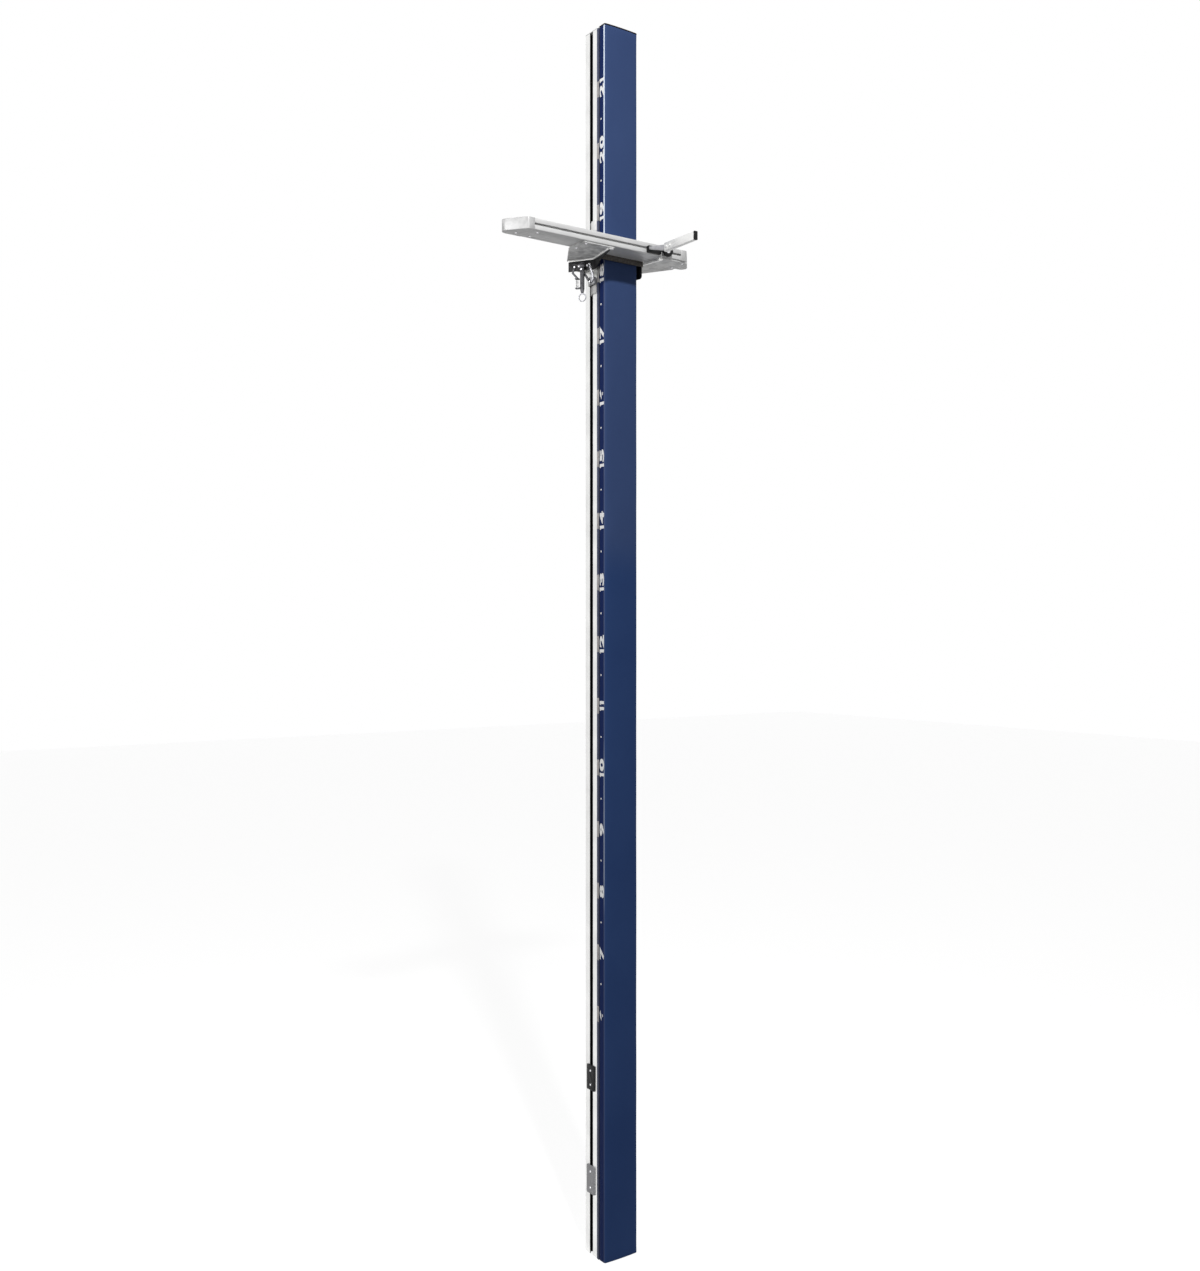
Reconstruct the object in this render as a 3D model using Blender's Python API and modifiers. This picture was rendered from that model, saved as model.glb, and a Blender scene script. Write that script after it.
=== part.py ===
"""Pole vault standard: a padded T-slot upright with a self-locking carriage, a cross arm and a peg arm.

Metres, +Z up. The origin is the centre of the upright's bottom end. +X runs along the pad's wide face and
the cross arm, and -Y is the side that the pad and the peg arm face.
"""

import math

import bmesh
import bpy
from mathutils import Matrix, Vector

# Clearances
SEAT_GAP = 0.0003
RUN_GAP = 0.0015
MERGE_DISTANCE = 0.00001

# Upright extrusion
UPRIGHT_HEIGHT = 6.096
UPRIGHT_WIDTH = 0.200
UPRIGHT_DEPTH = 0.112
UPRIGHT_WALL = 0.004
UPRIGHT_CORNER = 0.008
SLOT_OPENING = 0.027
SLOT_LIP = 0.005
CHAMBER_WIDTH = 0.050
CHAMBER_DEPTH = 0.018
CAP_THICKNESS = 0.004
PLUG_LENGTH = 0.030

# Pad on the upright's front face
TAPE_THICKNESS = 0.003
TAPE_WIDTH = 0.050
TAPE_SPACING = 0.110
BACKER_THICKNESS = 0.006
PAD_THICKNESS = 0.052
PAD_CROWN = 0.003
PAD_CORNER = 0.010
COVER_WALL = 0.0015
BINDING_HEIGHT = 0.006

# Plates bolted over the slots near the ground
STOP_BOTTOM = 0.820
STOP_HEIGHT = 0.125
STOP_WIDTH = 0.068
STOP_THICKNESS = 0.005
STOP_SCREW_SPACING = 0.070
BASE_PLATE_BOTTOM = 0.305
BASE_PLATE_HEIGHT = 0.140
BASE_PLATE_WIDTH = 0.066
BASE_PLATE_THICKNESS = 0.006
BASE_SCREW_SPACING = 0.079
NUT_LENGTH = 0.110
PLATE_CORNER = 0.006

# Carriage slides in the upright's slots
SLIDE_BOTTOM = 4.782
GLIDE_LOWER_HEIGHT = 0.041
GLIDE_UPPER_HEIGHT = 0.054
SLIDE_HEIGHT = 0.363
SLIDE_FLANGE_DEPTH = 0.014
GLIDE_PROUD = 0.006
GLIDE_FRONT_REACH = 0.048
GLIDE_LIP_RADIUS = 0.0024

# Cross arm
ARM_BOTTOM = 4.954
ARM_HEIGHT = 0.054
ARM_DEPTH = 0.130
ARM_PAD_GAP = 0.009
ARM_LEFT = -0.590
ARM_RIGHT = 0.265
ARM_WALL = 0.003
ARM_CORNER = 0.004
ARM_SLOT_OPENING = 0.010
ARM_SLOT_LIP = 0.004
ARM_CHAMBER_WIDTH = 0.022
ARM_CHAMBER_DEPTH = 0.010
END_CAP_STRAIGHT = 0.035
END_CAP_SLANT_DEG = 50.0
END_CAP_FRONT_RADIUS = 0.020
END_CAP_NOSE_RADIUS = 0.028
END_CAP_TONGUE = 0.060
END_CAP_OVERLAP = 0.010
CAP_SCREW_INWARD = 0.034
CAP_SCREW_OUTWARD = 0.047
CAP_SCREW_FROM_FRONT = 0.033
CAP_SCREW_FROM_BACK = 0.028
CAP_SCREW_FROM_NOSE = 0.038

# Wing brackets that carry the arm past the pad
WING_THICKNESS = 0.006
WING_EDGE = 0.315
WING_FRONT_INSET = 0.006
RIM_HEIGHT = 0.005
RIM_FILLET = 0.004
RIM_TRIM = 0.001
NOSE_INWARD = 0.018
NOSE_DEPTH = 0.012
NOSE_CORNER = 0.005
WING_CORNER = 0.008
SIDE_PLATE_THICKNESS = 0.004
SIDE_PLATE_HEIGHT = 0.052
SIDE_PLATE_TIP_HEIGHT = 0.008
SIDE_PLATE_KNEE = (-0.130, 0.022)
RIGHT_PLATE_HEIGHT = 0.072
RIGHT_PLATE_FRONT = -0.110
RIGHT_PLATE_CORNER = 0.014
WALL_FRONT = (0.155, -0.234)
WALL_BEND = (0.121, -0.054)
WALL_REAR = (0.197, 0.061)
WALL_BEND_RADIUS = 0.026
WING_REAR_RADIUS = 0.003
WING_NEAR_RADIUS = 0.004
WING_BEND_RADIUS = 0.010
WING_NOSE_RADIUS = 0.012
WING_ARM_RADIUS = 0.020
WING_SCREW_INSET = 0.025
WING_SCREW_FROM_ARM_EDGE = 0.024
KNUCKLE_WALL = 0.006
KNUCKLE_HEIGHT = 0.050
KNUCKLE_REAR = 0.0276
KNUCKLE_FRONT = 0.124
KNUCKLE_FRONT_WALL = 0.0132
KNUCKLE_CORNER = 0.003
BOLT_INSET = 0.0135

# Strap behind the arm, in front of the pad
STRAP_LENGTH = 0.252
STRAP_THICKNESS = 0.004
STRAP_HEIGHT = 0.045
STRAP_BELOW = 0.025
STRAP_CORNER = 0.002
STRAP_SCREW_PLACE = 0.095
STRAP_SCREW_HEIGHT = 0.010

# Release linkage in front of the left side plate
LAYER_GAP = 0.0006
HANGER_THICKNESS = 0.005
LINK_THICKNESS = 0.004
ROD_THICKNESS = 0.005
ROD_WIDTH = 0.022
ROD_PLACE = 0.080
ROD_TOP = 4.932
ROD_NECK_WIDTH = 0.0121
ROD_TAPER = 0.020
ROD_NECK_RADIUS = 0.001
ROD_SHOULDER_RADIUS = 0.006
ROD_TOP_RADIUS = 0.005
ROD_LUG_OVERLAP = 0.004
RING_CENTRE = 4.758
RING_RADIUS = 0.0185
RING_WIRE = 0.003
LINK_TOP = (0.0745, 4.898)
LINK_FOOT = (0.117, 4.8345)
LINK_WIDTH = 0.012
HANGER_PIVOT = (0.1155, 4.921)
HANGER_BELLY = ((0.1245, 4.893), (0.1335, 4.865), (0.130, 4.8425))
HANGER_WIDTH = 0.010
PIN_RADIUS = 0.003
PIN_HEAD_RADIUS = 0.0051
PIN_HEAD_EDGE_RADIUS = 0.0045
PIN_HEAD_HEIGHT = 0.0027
PIN_CLEARANCE = 0.0002
OPEN_PIVOT_CLEARANCE = 0.0009
GUIDE_BOTTOM = 4.908
GUIDE_HEIGHT = 0.018
GUIDE_STRAP = 0.003
GUIDE_FOOT = 0.014
ANCHOR_TOP = (0.0345, 4.916)
ANCHOR_KNEE = (0.024, 4.887)
ANCHOR_FOOT = (0.049, 4.8590)
ANCHOR_WIDTH = 0.010
SPRING_PLACE = 0.0535
SPRING_TOP = 4.850
SPRING_HEIGHT = 0.042
SPRING_RADIUS = 0.0062
SPRING_WIRE = 0.001
SPRING_CURLS = 6
SPRING_POINTS = 10
SEAT_PLATE = 0.005
SEAT_MARGIN = 0.0025
SEAT_SIDE = 0.002
ANCHOR_FOOT_REACH = 0.006
SIDE_SCREW_SHANK = 0.012

# Brake shoe that bears on the upright's side
SHOE_BOTTOM = 4.8265
SHOE_HEIGHT = 0.0330
SHOE_REAR = 0.016
SHOE_STANDOFF = 0.008
BRAKE_PAD_WIDTH = 0.012
BRAKE_PAD_BITE = 0.004
BRAKE_WINDOW = 0.008

# Peg arm on the cross arm's slot
PEG_PLACE = 0.060
PEG_DROP = 0.033
PEG_ROOT_DROP = 0.004
PEG_PLATE_LENGTH = 0.140
PEG_PLATE_THICKNESS = 0.008
PEG_PLATE_ROOT = 0.014
PEG_PLATE_HEEL = 0.030
PEG_INSERT = 0.055
PEG_SHOULDER = 0.004
PEG_RIVET_FIRST = 0.0176
PEG_RIVET_SPACING = 0.0253
TUBE_LENGTH = 0.2226
TUBE_WIDTH = 0.020
TUBE_HEIGHT = 0.041
TUBE_WALL = 0.002
TUBE_CORNER = 0.0025
TIP_LENGTH = 0.006
TIP_EDGE = 0.002
TIP_PLUG = 0.030
BLOCK_LEFT = 0.050
BLOCK_LENGTH = 0.080
BLOCK_BELOW = 0.024
BLOCK_ABOVE = 0.009
BLOCK_THICKNESS = 0.014
BLOCK_POCKET = 0.010
BLOCK_CORNER = 0.004
BLOCK_SCREW_LEFT = 0.026
BLOCK_SCREW_RIGHT = 0.014
NUT_END = 0.029
KNOB_PLACE = 0.166
KNOB_RADIUS = 0.030
KNOB_THICKNESS = 0.020
KNOB_FLUTES = 10
FLUTE_RADIUS = 0.004
FLUTE_OUTSET = 0.0014
KNOB_EDGE = 0.004
KNOB_FRONT_EDGE = 0.005
KNOB_PROUD = 0.004
HUB_RADIUS = 0.013
HUB_LENGTH = 0.022
HUB_DOME = 0.001
HUB_DOME_EDGE = 0.003
STUD_RADIUS = 0.004
WASHER_RADIUS = 0.016
WASHER_THICKNESS = 0.003

# Fasteners
SCREW_HEAD_RADIUS = 0.0055
SCREW_HEAD_HEIGHT = 0.0014
SCREW_EDGE_RADIUS = 0.005
SCREW_EDGE_HEIGHT = 0.0008
SCREW_DOME_RADIUS = 0.003
SCREW_DOME_HEIGHT = 0.0013
SCREW_RADIUS = 0.003
HOLE_CLEARANCE = 0.0003
HOLE_REACH = 0.030
BLIND_HOLE_REACH = 0.040

# Places worked out from the sizes above
LEFT, RIGHT = -1, 1
SIDES = ((LEFT, "left"), (RIGHT, "right"))
HALF_WIDTH = UPRIGHT_WIDTH / 2
HALF_DEPTH = UPRIGHT_DEPTH / 2
EXTRUSION_TOP = UPRIGHT_HEIGHT - CAP_THICKNESS
BACKER_BACK = -HALF_DEPTH - TAPE_THICKNESS - 2 * SEAT_GAP
PAD_BACK = BACKER_BACK - BACKER_THICKNESS - SEAT_GAP
PAD_FRONT = PAD_BACK - PAD_THICKNESS
ARM_BACK = PAD_FRONT - ARM_PAD_GAP
ARM_FRONT = ARM_BACK - ARM_DEPTH
ARM_MIDDLE = ARM_BOTTOM + ARM_HEIGHT / 2
WING_TOP = ARM_BOTTOM - SEAT_GAP
WING_BOTTOM = WING_TOP - WING_THICKNESS
SIDE_PLATE_TOP = WING_BOTTOM - SEAT_GAP
SIDE_PLATE_BOTTOM = SIDE_PLATE_TOP - SIDE_PLATE_HEIGHT
SLIDE_TOP = SLIDE_BOTTOM + SLIDE_HEIGHT
ARC_STEPS = 5

# Pieces that ride with each joint
CARRIAGE_PIECES = [
    f"{piece}_{word}"
    for piece in (
        "slide_bar", "glide_lower", "glide_upper", "knuckle", "side_plate", "wing_bracket", "arm_end_cap",
    )
    for word in ("left", "right")
]
CARRIAGE_PIECES += [
    "wing_screw_left", "wing_screw_right", "front_strap",
    "cross_arm", "rod_guide", "guide_screw_rear", "guide_screw_front", "spring_anchor", "anchor_screw",
    "return_spring", "hanger_pin",
]
PEG_PIECES = [
    "slide_block", "slide_nut", "peg_plate", "peg_tube", "peg_tip", "knob_washer",
]


def clear_scene():
    for obj in list(bpy.data.objects):
        bpy.data.objects.remove(obj, do_unlink=True)


clear_scene()
PARTS = bpy.data.collections.new("pole_vault_standard")
CUTTERS = bpy.data.collections.new("cutters")
bpy.context.scene.collection.children.link(PARTS)
bpy.context.scene.collection.children.link(CUTTERS)
CUTTERS.hide_render = True


def make_material(name, colour, roughness, metallic):
    made = bpy.data.materials.new(name)
    made.use_nodes = True
    shader = made.node_tree.nodes["Principled BSDF"]
    shader.inputs["Base Color"].default_value = (*colour, 1.0)
    shader.inputs["Roughness"].default_value = roughness
    shader.inputs["Metallic"].default_value = metallic
    return made


FINISHES = {
    "aluminium": ((0.83, 0.84, 0.85), 0.32, 1.0),
    "cast_aluminium": ((0.60, 0.60, 0.61), 0.50, 1.0),
    "steel": ((0.62, 0.62, 0.64), 0.30, 1.0),
    "black_paint": ((0.02, 0.02, 0.022), 0.45, 0.0),
    "black_plastic": ((0.015, 0.015, 0.016), 0.40, 0.0),
    "white_plastic": ((0.86, 0.86, 0.85), 0.45, 0.0),
    "navy_vinyl": ((0.030, 0.050, 0.120), 0.42, 0.0),
    "dark_binding": ((0.035, 0.025, 0.020), 0.60, 0.0),
    "foam": ((0.55, 0.50, 0.35), 0.90, 0.0),
    "board": ((0.45, 0.45, 0.46), 0.70, 0.0),
    "tape": ((0.03, 0.03, 0.03), 0.90, 0.0),
    "lining": ((0.10, 0.09, 0.08), 0.80, 0.0),
}


# Placing

def frame_of(origin, u_axis, v_axis):
    """The matrix of a plane through origin, whose third axis is u cross v."""
    u_axis = Vector(u_axis).normalized()
    v_axis = Vector(v_axis).normalized()
    w_axis = u_axis.cross(v_axis)
    matrix = Matrix((u_axis, v_axis, w_axis)).transposed().to_4x4()
    matrix.translation = Vector(origin)
    return matrix


def plan_at(height):
    return frame_of((0, 0, height), (1, 0, 0), (0, 1, 0))


def section_at(x):
    """Outlines drawn in (Y, Z), extruded along +X."""
    return frame_of((x, 0, 0), (0, 1, 0), (0, 0, 1))


def front_at(y):
    """Outlines drawn in (X, Z), extruded along -Y."""
    return frame_of((0, y, 0), (1, 0, 0), (0, 0, 1))


WALL_DIRECTION = Vector(
    (WALL_REAR[0] - WALL_BEND[0], WALL_BEND[1] - WALL_REAR[1], 0)
).normalized()


def wall_at(depth):
    """Outlines drawn along the left wall from its rear end (a, Z), depth metres in front of its face."""
    origin = Vector((-WALL_REAR[0], WALL_REAR[1], 0))
    frame = frame_of(origin, WALL_DIRECTION, (0, 0, 1))
    return frame @ Matrix.Translation((0, 0, depth))


def wall_plan(a, depth):
    """The plan point (X, Y) that is a metres along the left wall and depth in front of its face."""
    point = wall_at(depth) @ Vector((a, 0, 0))
    return (point.x, point.y)


# Outlines

def fillet(points, radii, steps=ARC_STEPS):
    """The outline with its corners rounded; a radius of 0 leaves a corner sharp."""
    rounded = []
    count = len(points)
    for index, (corner, radius) in enumerate(zip(points, radii)):
        here = Vector(corner)
        back = Vector(points[index - 1]) - here
        ahead = Vector(points[(index + 1) % count]) - here
        turn = back.angle(ahead)
        if radius <= 0 or abs(math.pi - turn) < 0.01:
            rounded.append(tuple(here))
            continue
        cut = radius / math.tan(turn / 2)
        start = here + back.normalized() * cut
        end = here + ahead.normalized() * cut
        centre = here + (back.normalized() + ahead.normalized()).normalized() * radius / math.sin(turn / 2)
        first = start - centre
        sweep = first.angle_signed(end - centre)
        for step in range(steps + 1):
            angle = -sweep * step / steps
            spun = Matrix.Rotation(angle, 2) @ first
            rounded.append(tuple(centre + spun))
    return rounded


def rectangle(low_u, low_v, high_u, high_v, radius=0.0):
    corners = [(low_u, low_v), (high_u, low_v), (high_u, high_v), (low_u, high_v)]
    return fillet(corners, [radius] * 4)


def circle(centre, radius, steps=16):
    return [
        (
            centre[0] + radius * math.cos(2 * math.pi * step / steps),
            centre[1] + radius * math.sin(2 * math.pi * step / steps),
        )
        for step in range(steps)
    ]


def offset_path(path, distance):
    """The open path moved sideways by distance, to its left."""
    moved = []
    for index, point in enumerate(path):
        here = Vector(point)
        before = Vector(path[max(index - 1, 0)])
        after = Vector(path[min(index + 1, len(path) - 1)])
        along_in = (here - before).normalized() if index else (after - here).normalized()
        along_out = (after - here).normalized() if index < len(path) - 1 else along_in
        middle = (along_in + along_out).normalized()
        side = Vector((-middle.y, middle.x))
        stretch = 1 / max(0.3, side.dot(Vector((-along_in.y, along_in.x))))
        moved.append(tuple(here + side * distance * stretch))
    return moved


def band(path, low, high):
    """A closed outline between two offsets of an open path."""
    return offset_path(path, low) + list(reversed(offset_path(path, high)))


def bar(path, width, steps=6):
    """A closed outline of a bar with round ends along an open path."""
    half = width / 2
    left = offset_path(path, half)
    right = offset_path(path, -half)
    outline = list(left)
    outline += half_circle(path[-1], path[-2], half, steps)
    outline += list(reversed(right))
    outline += half_circle(path[0], path[1], half, steps)
    return outline


def half_circle(end, inner, radius, steps):
    along = (Vector(end) - Vector(inner)).normalized()
    start = Vector((-along.y, along.x))
    points = []
    for step in range(1, steps):
        spun = Matrix.Rotation(-math.pi * step / steps, 2) @ start
        points.append(tuple(Vector(end) + spun * radius))
    return points


def mirrored(outline, side):
    """The outline of the part on the given side, from one drawn for the right side."""
    return [(side * x, y) for x, y in outline]


# Solids

def finish(obj, name, finish_name):
    obj.name = name
    obj.data.name = name
    obj.data.materials.clear()
    obj.data.materials.append(make_material(name, *FINISHES[finish_name]))
    PARTS.objects.link(obj)
    return obj


def as_mesh(obj):
    """The object's evaluated shape as one welded mesh object."""
    holder = bpy.context.scene.collection
    holder.objects.link(obj)
    graph = bpy.context.evaluated_depsgraph_get()
    mesh = bpy.data.meshes.new_from_object(obj.evaluated_get(graph))
    shape = bmesh.new()
    shape.from_mesh(mesh)
    bmesh.ops.remove_doubles(shape, verts=shape.verts, dist=MERGE_DISTANCE)
    bmesh.ops.recalc_face_normals(shape, faces=shape.faces)
    shape.transform(obj.matrix_world)
    shape.to_mesh(mesh)
    shape.free()
    bpy.data.objects.remove(obj, do_unlink=True)
    return bpy.data.objects.new("solid", mesh)


def plate(loops, thickness, frame):
    """A flat outline, with any holes, extruded along the frame's third axis."""
    curve = bpy.data.curves.new("outline", "CURVE")
    curve.dimensions = "2D"
    curve.fill_mode = "BOTH"
    curve.extrude = thickness / 2
    for loop in loops:
        spline = curve.splines.new("POLY")
        spline.points.add(len(loop) - 1)
        for point, (u, v) in zip(spline.points, loop):
            point.co = (u, v, 0, 1)
        spline.use_cyclic_u = True
    obj = bpy.data.objects.new("outline", curve)
    obj.matrix_world = frame @ Matrix.Translation((0, 0, thickness / 2))
    return as_mesh(obj)


def turned(profile, frame, segments=12):
    """A body turned about the frame's third axis, from (radius, height) points listed from bottom to top."""
    mesh = bpy.data.meshes.new("profile")
    shape = bmesh.new()
    verts = [shape.verts.new((radius, 0, height)) for radius, height in reversed(profile)]
    for pair in zip(verts, verts[1:]):
        shape.edges.new(pair)
    bmesh.ops.remove_doubles(shape, verts=shape.verts, dist=MERGE_DISTANCE)
    shape.to_mesh(mesh)
    shape.free()
    obj = bpy.data.objects.new("turned", mesh)
    obj.matrix_world = frame
    screw = obj.modifiers.new("turn", "SCREW")
    screw.steps = segments
    screw.render_steps = segments
    screw.use_merge_vertices = True
    screw.merge_threshold = MERGE_DISTANCE
    return obj


def rod_profile(radius, length):
    return [(0, 0), (radius, 0), (radius, length), (0, length)]


def combined(first, others, operation):
    """The first solid joined with or cut by the others."""
    for other in others:
        CUTTERS.objects.link(other)
        other.hide_render = True
        other.display_type = "WIRE"
        modifier = first.modifiers.new(operation.lower(), "BOOLEAN")
        modifier.operation = operation
        modifier.solver = "EXACT"
        modifier.object = other
    return first


def cut(first, *cutters):
    return combined(first, cutters, "DIFFERENCE")


def join(first, *others):
    return combined(first, others, "UNION")


def drilled(obj, frames, radius, depth, segments=16):
    """Holes of the given depth, centred on each frame, along its third axis."""
    below = Matrix.Translation((0, 0, -depth / 2))
    bits = [turned(rod_profile(radius, depth), frame @ below, segments) for frame in frames]
    return cut(obj, *bits)


def screw_body(frame, shank):
    """A screw whose low head sits on the frame's plane, facing its third axis."""
    profile = [
        (0, -shank),
        (SCREW_RADIUS, -shank),
        (SCREW_RADIUS, SEAT_GAP),
        (SCREW_HEAD_RADIUS, SEAT_GAP),
        (SCREW_EDGE_RADIUS, SEAT_GAP + SCREW_EDGE_HEIGHT),
        (SCREW_DOME_RADIUS, SEAT_GAP + SCREW_DOME_HEIGHT),
        (0, SEAT_GAP + SCREW_HEAD_HEIGHT),
    ]
    return turned(profile, frame)


def screw_holes(obj, frames, depth):
    return drilled(obj, frames, SCREW_RADIUS + HOLE_CLEARANCE, depth)


# Upright

def upright_outline():
    """The extrusion's outer section: round corners, and a T-slot in the middle of each side."""
    inner = HALF_WIDTH - SLOT_LIP
    floor = inner - CHAMBER_DEPTH
    right = [
        (HALF_WIDTH, -SLOT_OPENING / 2),
        (inner, -SLOT_OPENING / 2),
        (inner, -CHAMBER_WIDTH / 2),
        (floor, -CHAMBER_WIDTH / 2),
        (floor, CHAMBER_WIDTH / 2),
        (inner, CHAMBER_WIDTH / 2),
        (inner, SLOT_OPENING / 2),
        (HALF_WIDTH, SLOT_OPENING / 2),
    ]
    left = [(-x, -y) for x, y in right]
    points = [(-HALF_WIDTH, -HALF_DEPTH), (HALF_WIDTH, -HALF_DEPTH), *right]
    points += [(HALF_WIDTH, HALF_DEPTH), (-HALF_WIDTH, HALF_DEPTH), *left]
    sharp = [0.0] * len(right)
    radii = [UPRIGHT_CORNER] * 2 + sharp + [UPRIGHT_CORNER] * 2 + sharp
    return fillet(points, radii)


def upright_cell(side, gap=0.0):
    """One of the two hollows beside the middle web, made smaller all round by gap."""
    web = UPRIGHT_WALL / 2 + gap
    back = HALF_DEPTH - UPRIGHT_WALL - gap
    outside = HALF_WIDTH - UPRIGHT_WALL - gap
    floor = HALF_WIDTH - SLOT_LIP - CHAMBER_DEPTH - UPRIGHT_WALL - gap
    shoulder = CHAMBER_WIDTH / 2 + UPRIGHT_WALL + gap
    points = [
        (web, -back),
        (outside, -back),
        (outside, -shoulder),
        (floor, -shoulder),
        (floor, shoulder),
        (outside, shoulder),
        (outside, back),
        (web, back),
    ]
    return mirrored(points, side)


def slot_face(side, height, y=0.0):
    """A frame on the upright's side face, its third axis pointing out."""
    return frame_of((side * HALF_WIDTH, y, height), (0, side, 0), (0, 0, 1))


def build_upright():
    loops = [upright_outline(), upright_cell(LEFT), upright_cell(RIGHT)]
    finish(plate(loops, EXTRUSION_TOP, plan_at(0)), "upright_extrusion", "aluminium")
    cap_outline = rectangle(-HALF_WIDTH, -HALF_DEPTH, HALF_WIDTH, HALF_DEPTH, UPRIGHT_CORNER)
    cap_seat = EXTRUSION_TOP + SEAT_GAP
    cap = plate([cap_outline], CAP_THICKNESS - SEAT_GAP, plan_at(cap_seat))
    key_length = PLUG_LENGTH + CAP_THICKNESS / 2
    key_seat = plan_at(cap_seat - PLUG_LENGTH)
    keys = [plate([upright_cell(side, SEAT_GAP)], key_length, key_seat) for side in (LEFT, RIGHT)]
    finish(join(cap, *keys), "top_cap", "white_plastic")
    for side, name in ((LEFT, "bottom_plug_left"), (RIGHT, "bottom_plug_right")):
        plug = plate([upright_cell(side, SEAT_GAP)], PLUG_LENGTH, plan_at(0))
        finish(plug, name, "black_plastic")


# Pad

def pad_section(inset):
    """The pad's plan outline: flat back, round front corners and a crowned front."""
    half = HALF_WIDTH - inset
    back = PAD_BACK - (SEAT_GAP if inset else 0)
    shoulder = PAD_FRONT + PAD_CROWN + inset
    corner = PAD_CORNER - inset
    sides = fillet(
        [(-half, back), (-half, shoulder), (half, shoulder), (half, back)],
        [0, corner, corner, 0],
        3,
    )
    steps = 8
    first = next(index for index, point in enumerate(sides) if abs(point[1] - shoulder) < 1e-6)
    reach = half - corner
    crown = []
    for step in range(1, steps):
        across = -1 + 2 * step / steps
        crown.append((across * reach, shoulder - PAD_CROWN * (1 - across * across)))
    return sides[: first + 1] + crown + sides[first + 1 :]


def build_pad():
    top = UPRIGHT_HEIGHT - BINDING_HEIGHT
    inner_top = top - COVER_WALL
    tape_z = COVER_WALL
    tape_length = inner_top - COVER_WALL
    tape_back = -HALF_DEPTH - SEAT_GAP
    for side, word in SIDES:
        centre = side * TAPE_SPACING / 2
        strip = rectangle(
            centre - TAPE_WIDTH / 2,
            tape_back - TAPE_THICKNESS,
            centre + TAPE_WIDTH / 2,
            tape_back,
        )
        finish(plate([strip], tape_length, plan_at(tape_z)), f"pad_tape_{word}", "tape")
    board_half = HALF_WIDTH - COVER_WALL
    board = rectangle(-board_half, BACKER_BACK - BACKER_THICKNESS, board_half, BACKER_BACK)
    finish(plate([board], top, plan_at(0)), "pad_backer", "board")
    skin = plate([pad_section(0.0)], top, plan_at(0))
    room = plate([pad_room()], inner_top - COVER_WALL, plan_at(COVER_WALL))
    finish(cut(skin, room), "pad_cover", "navy_vinyl")
    core = plate(
        [pad_section(COVER_WALL + SEAT_GAP)],
        inner_top - COVER_WALL - 2 * SEAT_GAP,
        plan_at(COVER_WALL + SEAT_GAP),
    )
    finish(core, "pad_core", "foam")
    binding = plate([pad_section(0.0)], BINDING_HEIGHT - SEAT_GAP, plan_at(top + SEAT_GAP))
    finish(binding, "pad_top_binding", "dark_binding")


def pad_room():
    """The cover's inside, run out through its open back."""
    inside = pad_section(COVER_WALL)
    behind = PAD_BACK + BACKER_THICKNESS / 2
    return [(x, behind if abs(y - (PAD_BACK - SEAT_GAP)) < 1e-6 else y) for x, y in inside]


# Plates over the slots

def nut_section(gap):
    """A T-nut's plan section on the right side: a neck in the opening and a head in the chamber."""
    inner = HALF_WIDTH - SLOT_LIP - gap
    floor = inner - CHAMBER_DEPTH + 2 * gap
    neck = SLOT_OPENING / 2 - gap
    head = CHAMBER_WIDTH / 2 - gap
    return [
        (HALF_WIDTH - gap, -neck),
        (HALF_WIDTH - gap, neck),
        (inner, neck),
        (inner, head),
        (floor, head),
        (floor, -head),
        (inner, -head),
        (inner, -neck),
    ]


def build_slot_plate(name, side, bottom, height, width, thickness, spacing, finish_name):
    """A plate over the slot and the T-nut with its two screws that clamps it there."""
    middle = bottom + height / 2
    outline = rectangle(-width / 2, bottom, width / 2, bottom + height, PLATE_CORNER)
    low = HALF_WIDTH + SEAT_GAP
    start = low if side == RIGHT else -low - thickness
    holes = [slot_face(side, middle + sign * spacing / 2) for sign in (-1, 1)]
    plate_solid = plate([outline], thickness, section_at(start))
    finish(screw_holes(plate_solid, holes, 4 * thickness), name, finish_name)
    nut = plate([mirrored(nut_section(SEAT_GAP), side)], NUT_LENGTH, plan_at(middle - NUT_LENGTH / 2))
    outside = Matrix.Translation((side * (SEAT_GAP + thickness), 0, 0))
    shank = thickness + SLOT_LIP + CHAMBER_DEPTH / 2
    heads = [screw_body(outside @ hole, shank) for hole in holes]
    finish(join(nut, *heads), f"{name}_nut", "steel")


def build_slot_plates():
    for side, word in SIDES:
        build_slot_plate(
            f"stop_plate_{word}", side, STOP_BOTTOM, STOP_HEIGHT, STOP_WIDTH,
            STOP_THICKNESS, STOP_SCREW_SPACING, "black_plastic",
        )
        build_slot_plate(
            f"base_plate_{word}", side, BASE_PLATE_BOTTOM, BASE_PLATE_HEIGHT, BASE_PLATE_WIDTH,
            BASE_PLATE_THICKNESS, BASE_SCREW_SPACING, "cast_aluminium",
        )


# Carriage slides

def slide_section():
    """The slide bar's plan section on the right side, running free in the slot."""
    inner = HALF_WIDTH - SLOT_LIP - RUN_GAP / 2
    neck = SLOT_OPENING / 2 - RUN_GAP
    head = CHAMBER_WIDTH / 2 - RUN_GAP
    outside = HALF_WIDTH - SEAT_GAP
    return [
        (outside, -neck),
        (outside, neck),
        (inner, neck),
        (inner, head),
        (inner - SLIDE_FLANGE_DEPTH, head),
        (inner - SLIDE_FLANGE_DEPTH, -head),
        (inner, -head),
        (inner, -neck),
    ]


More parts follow.
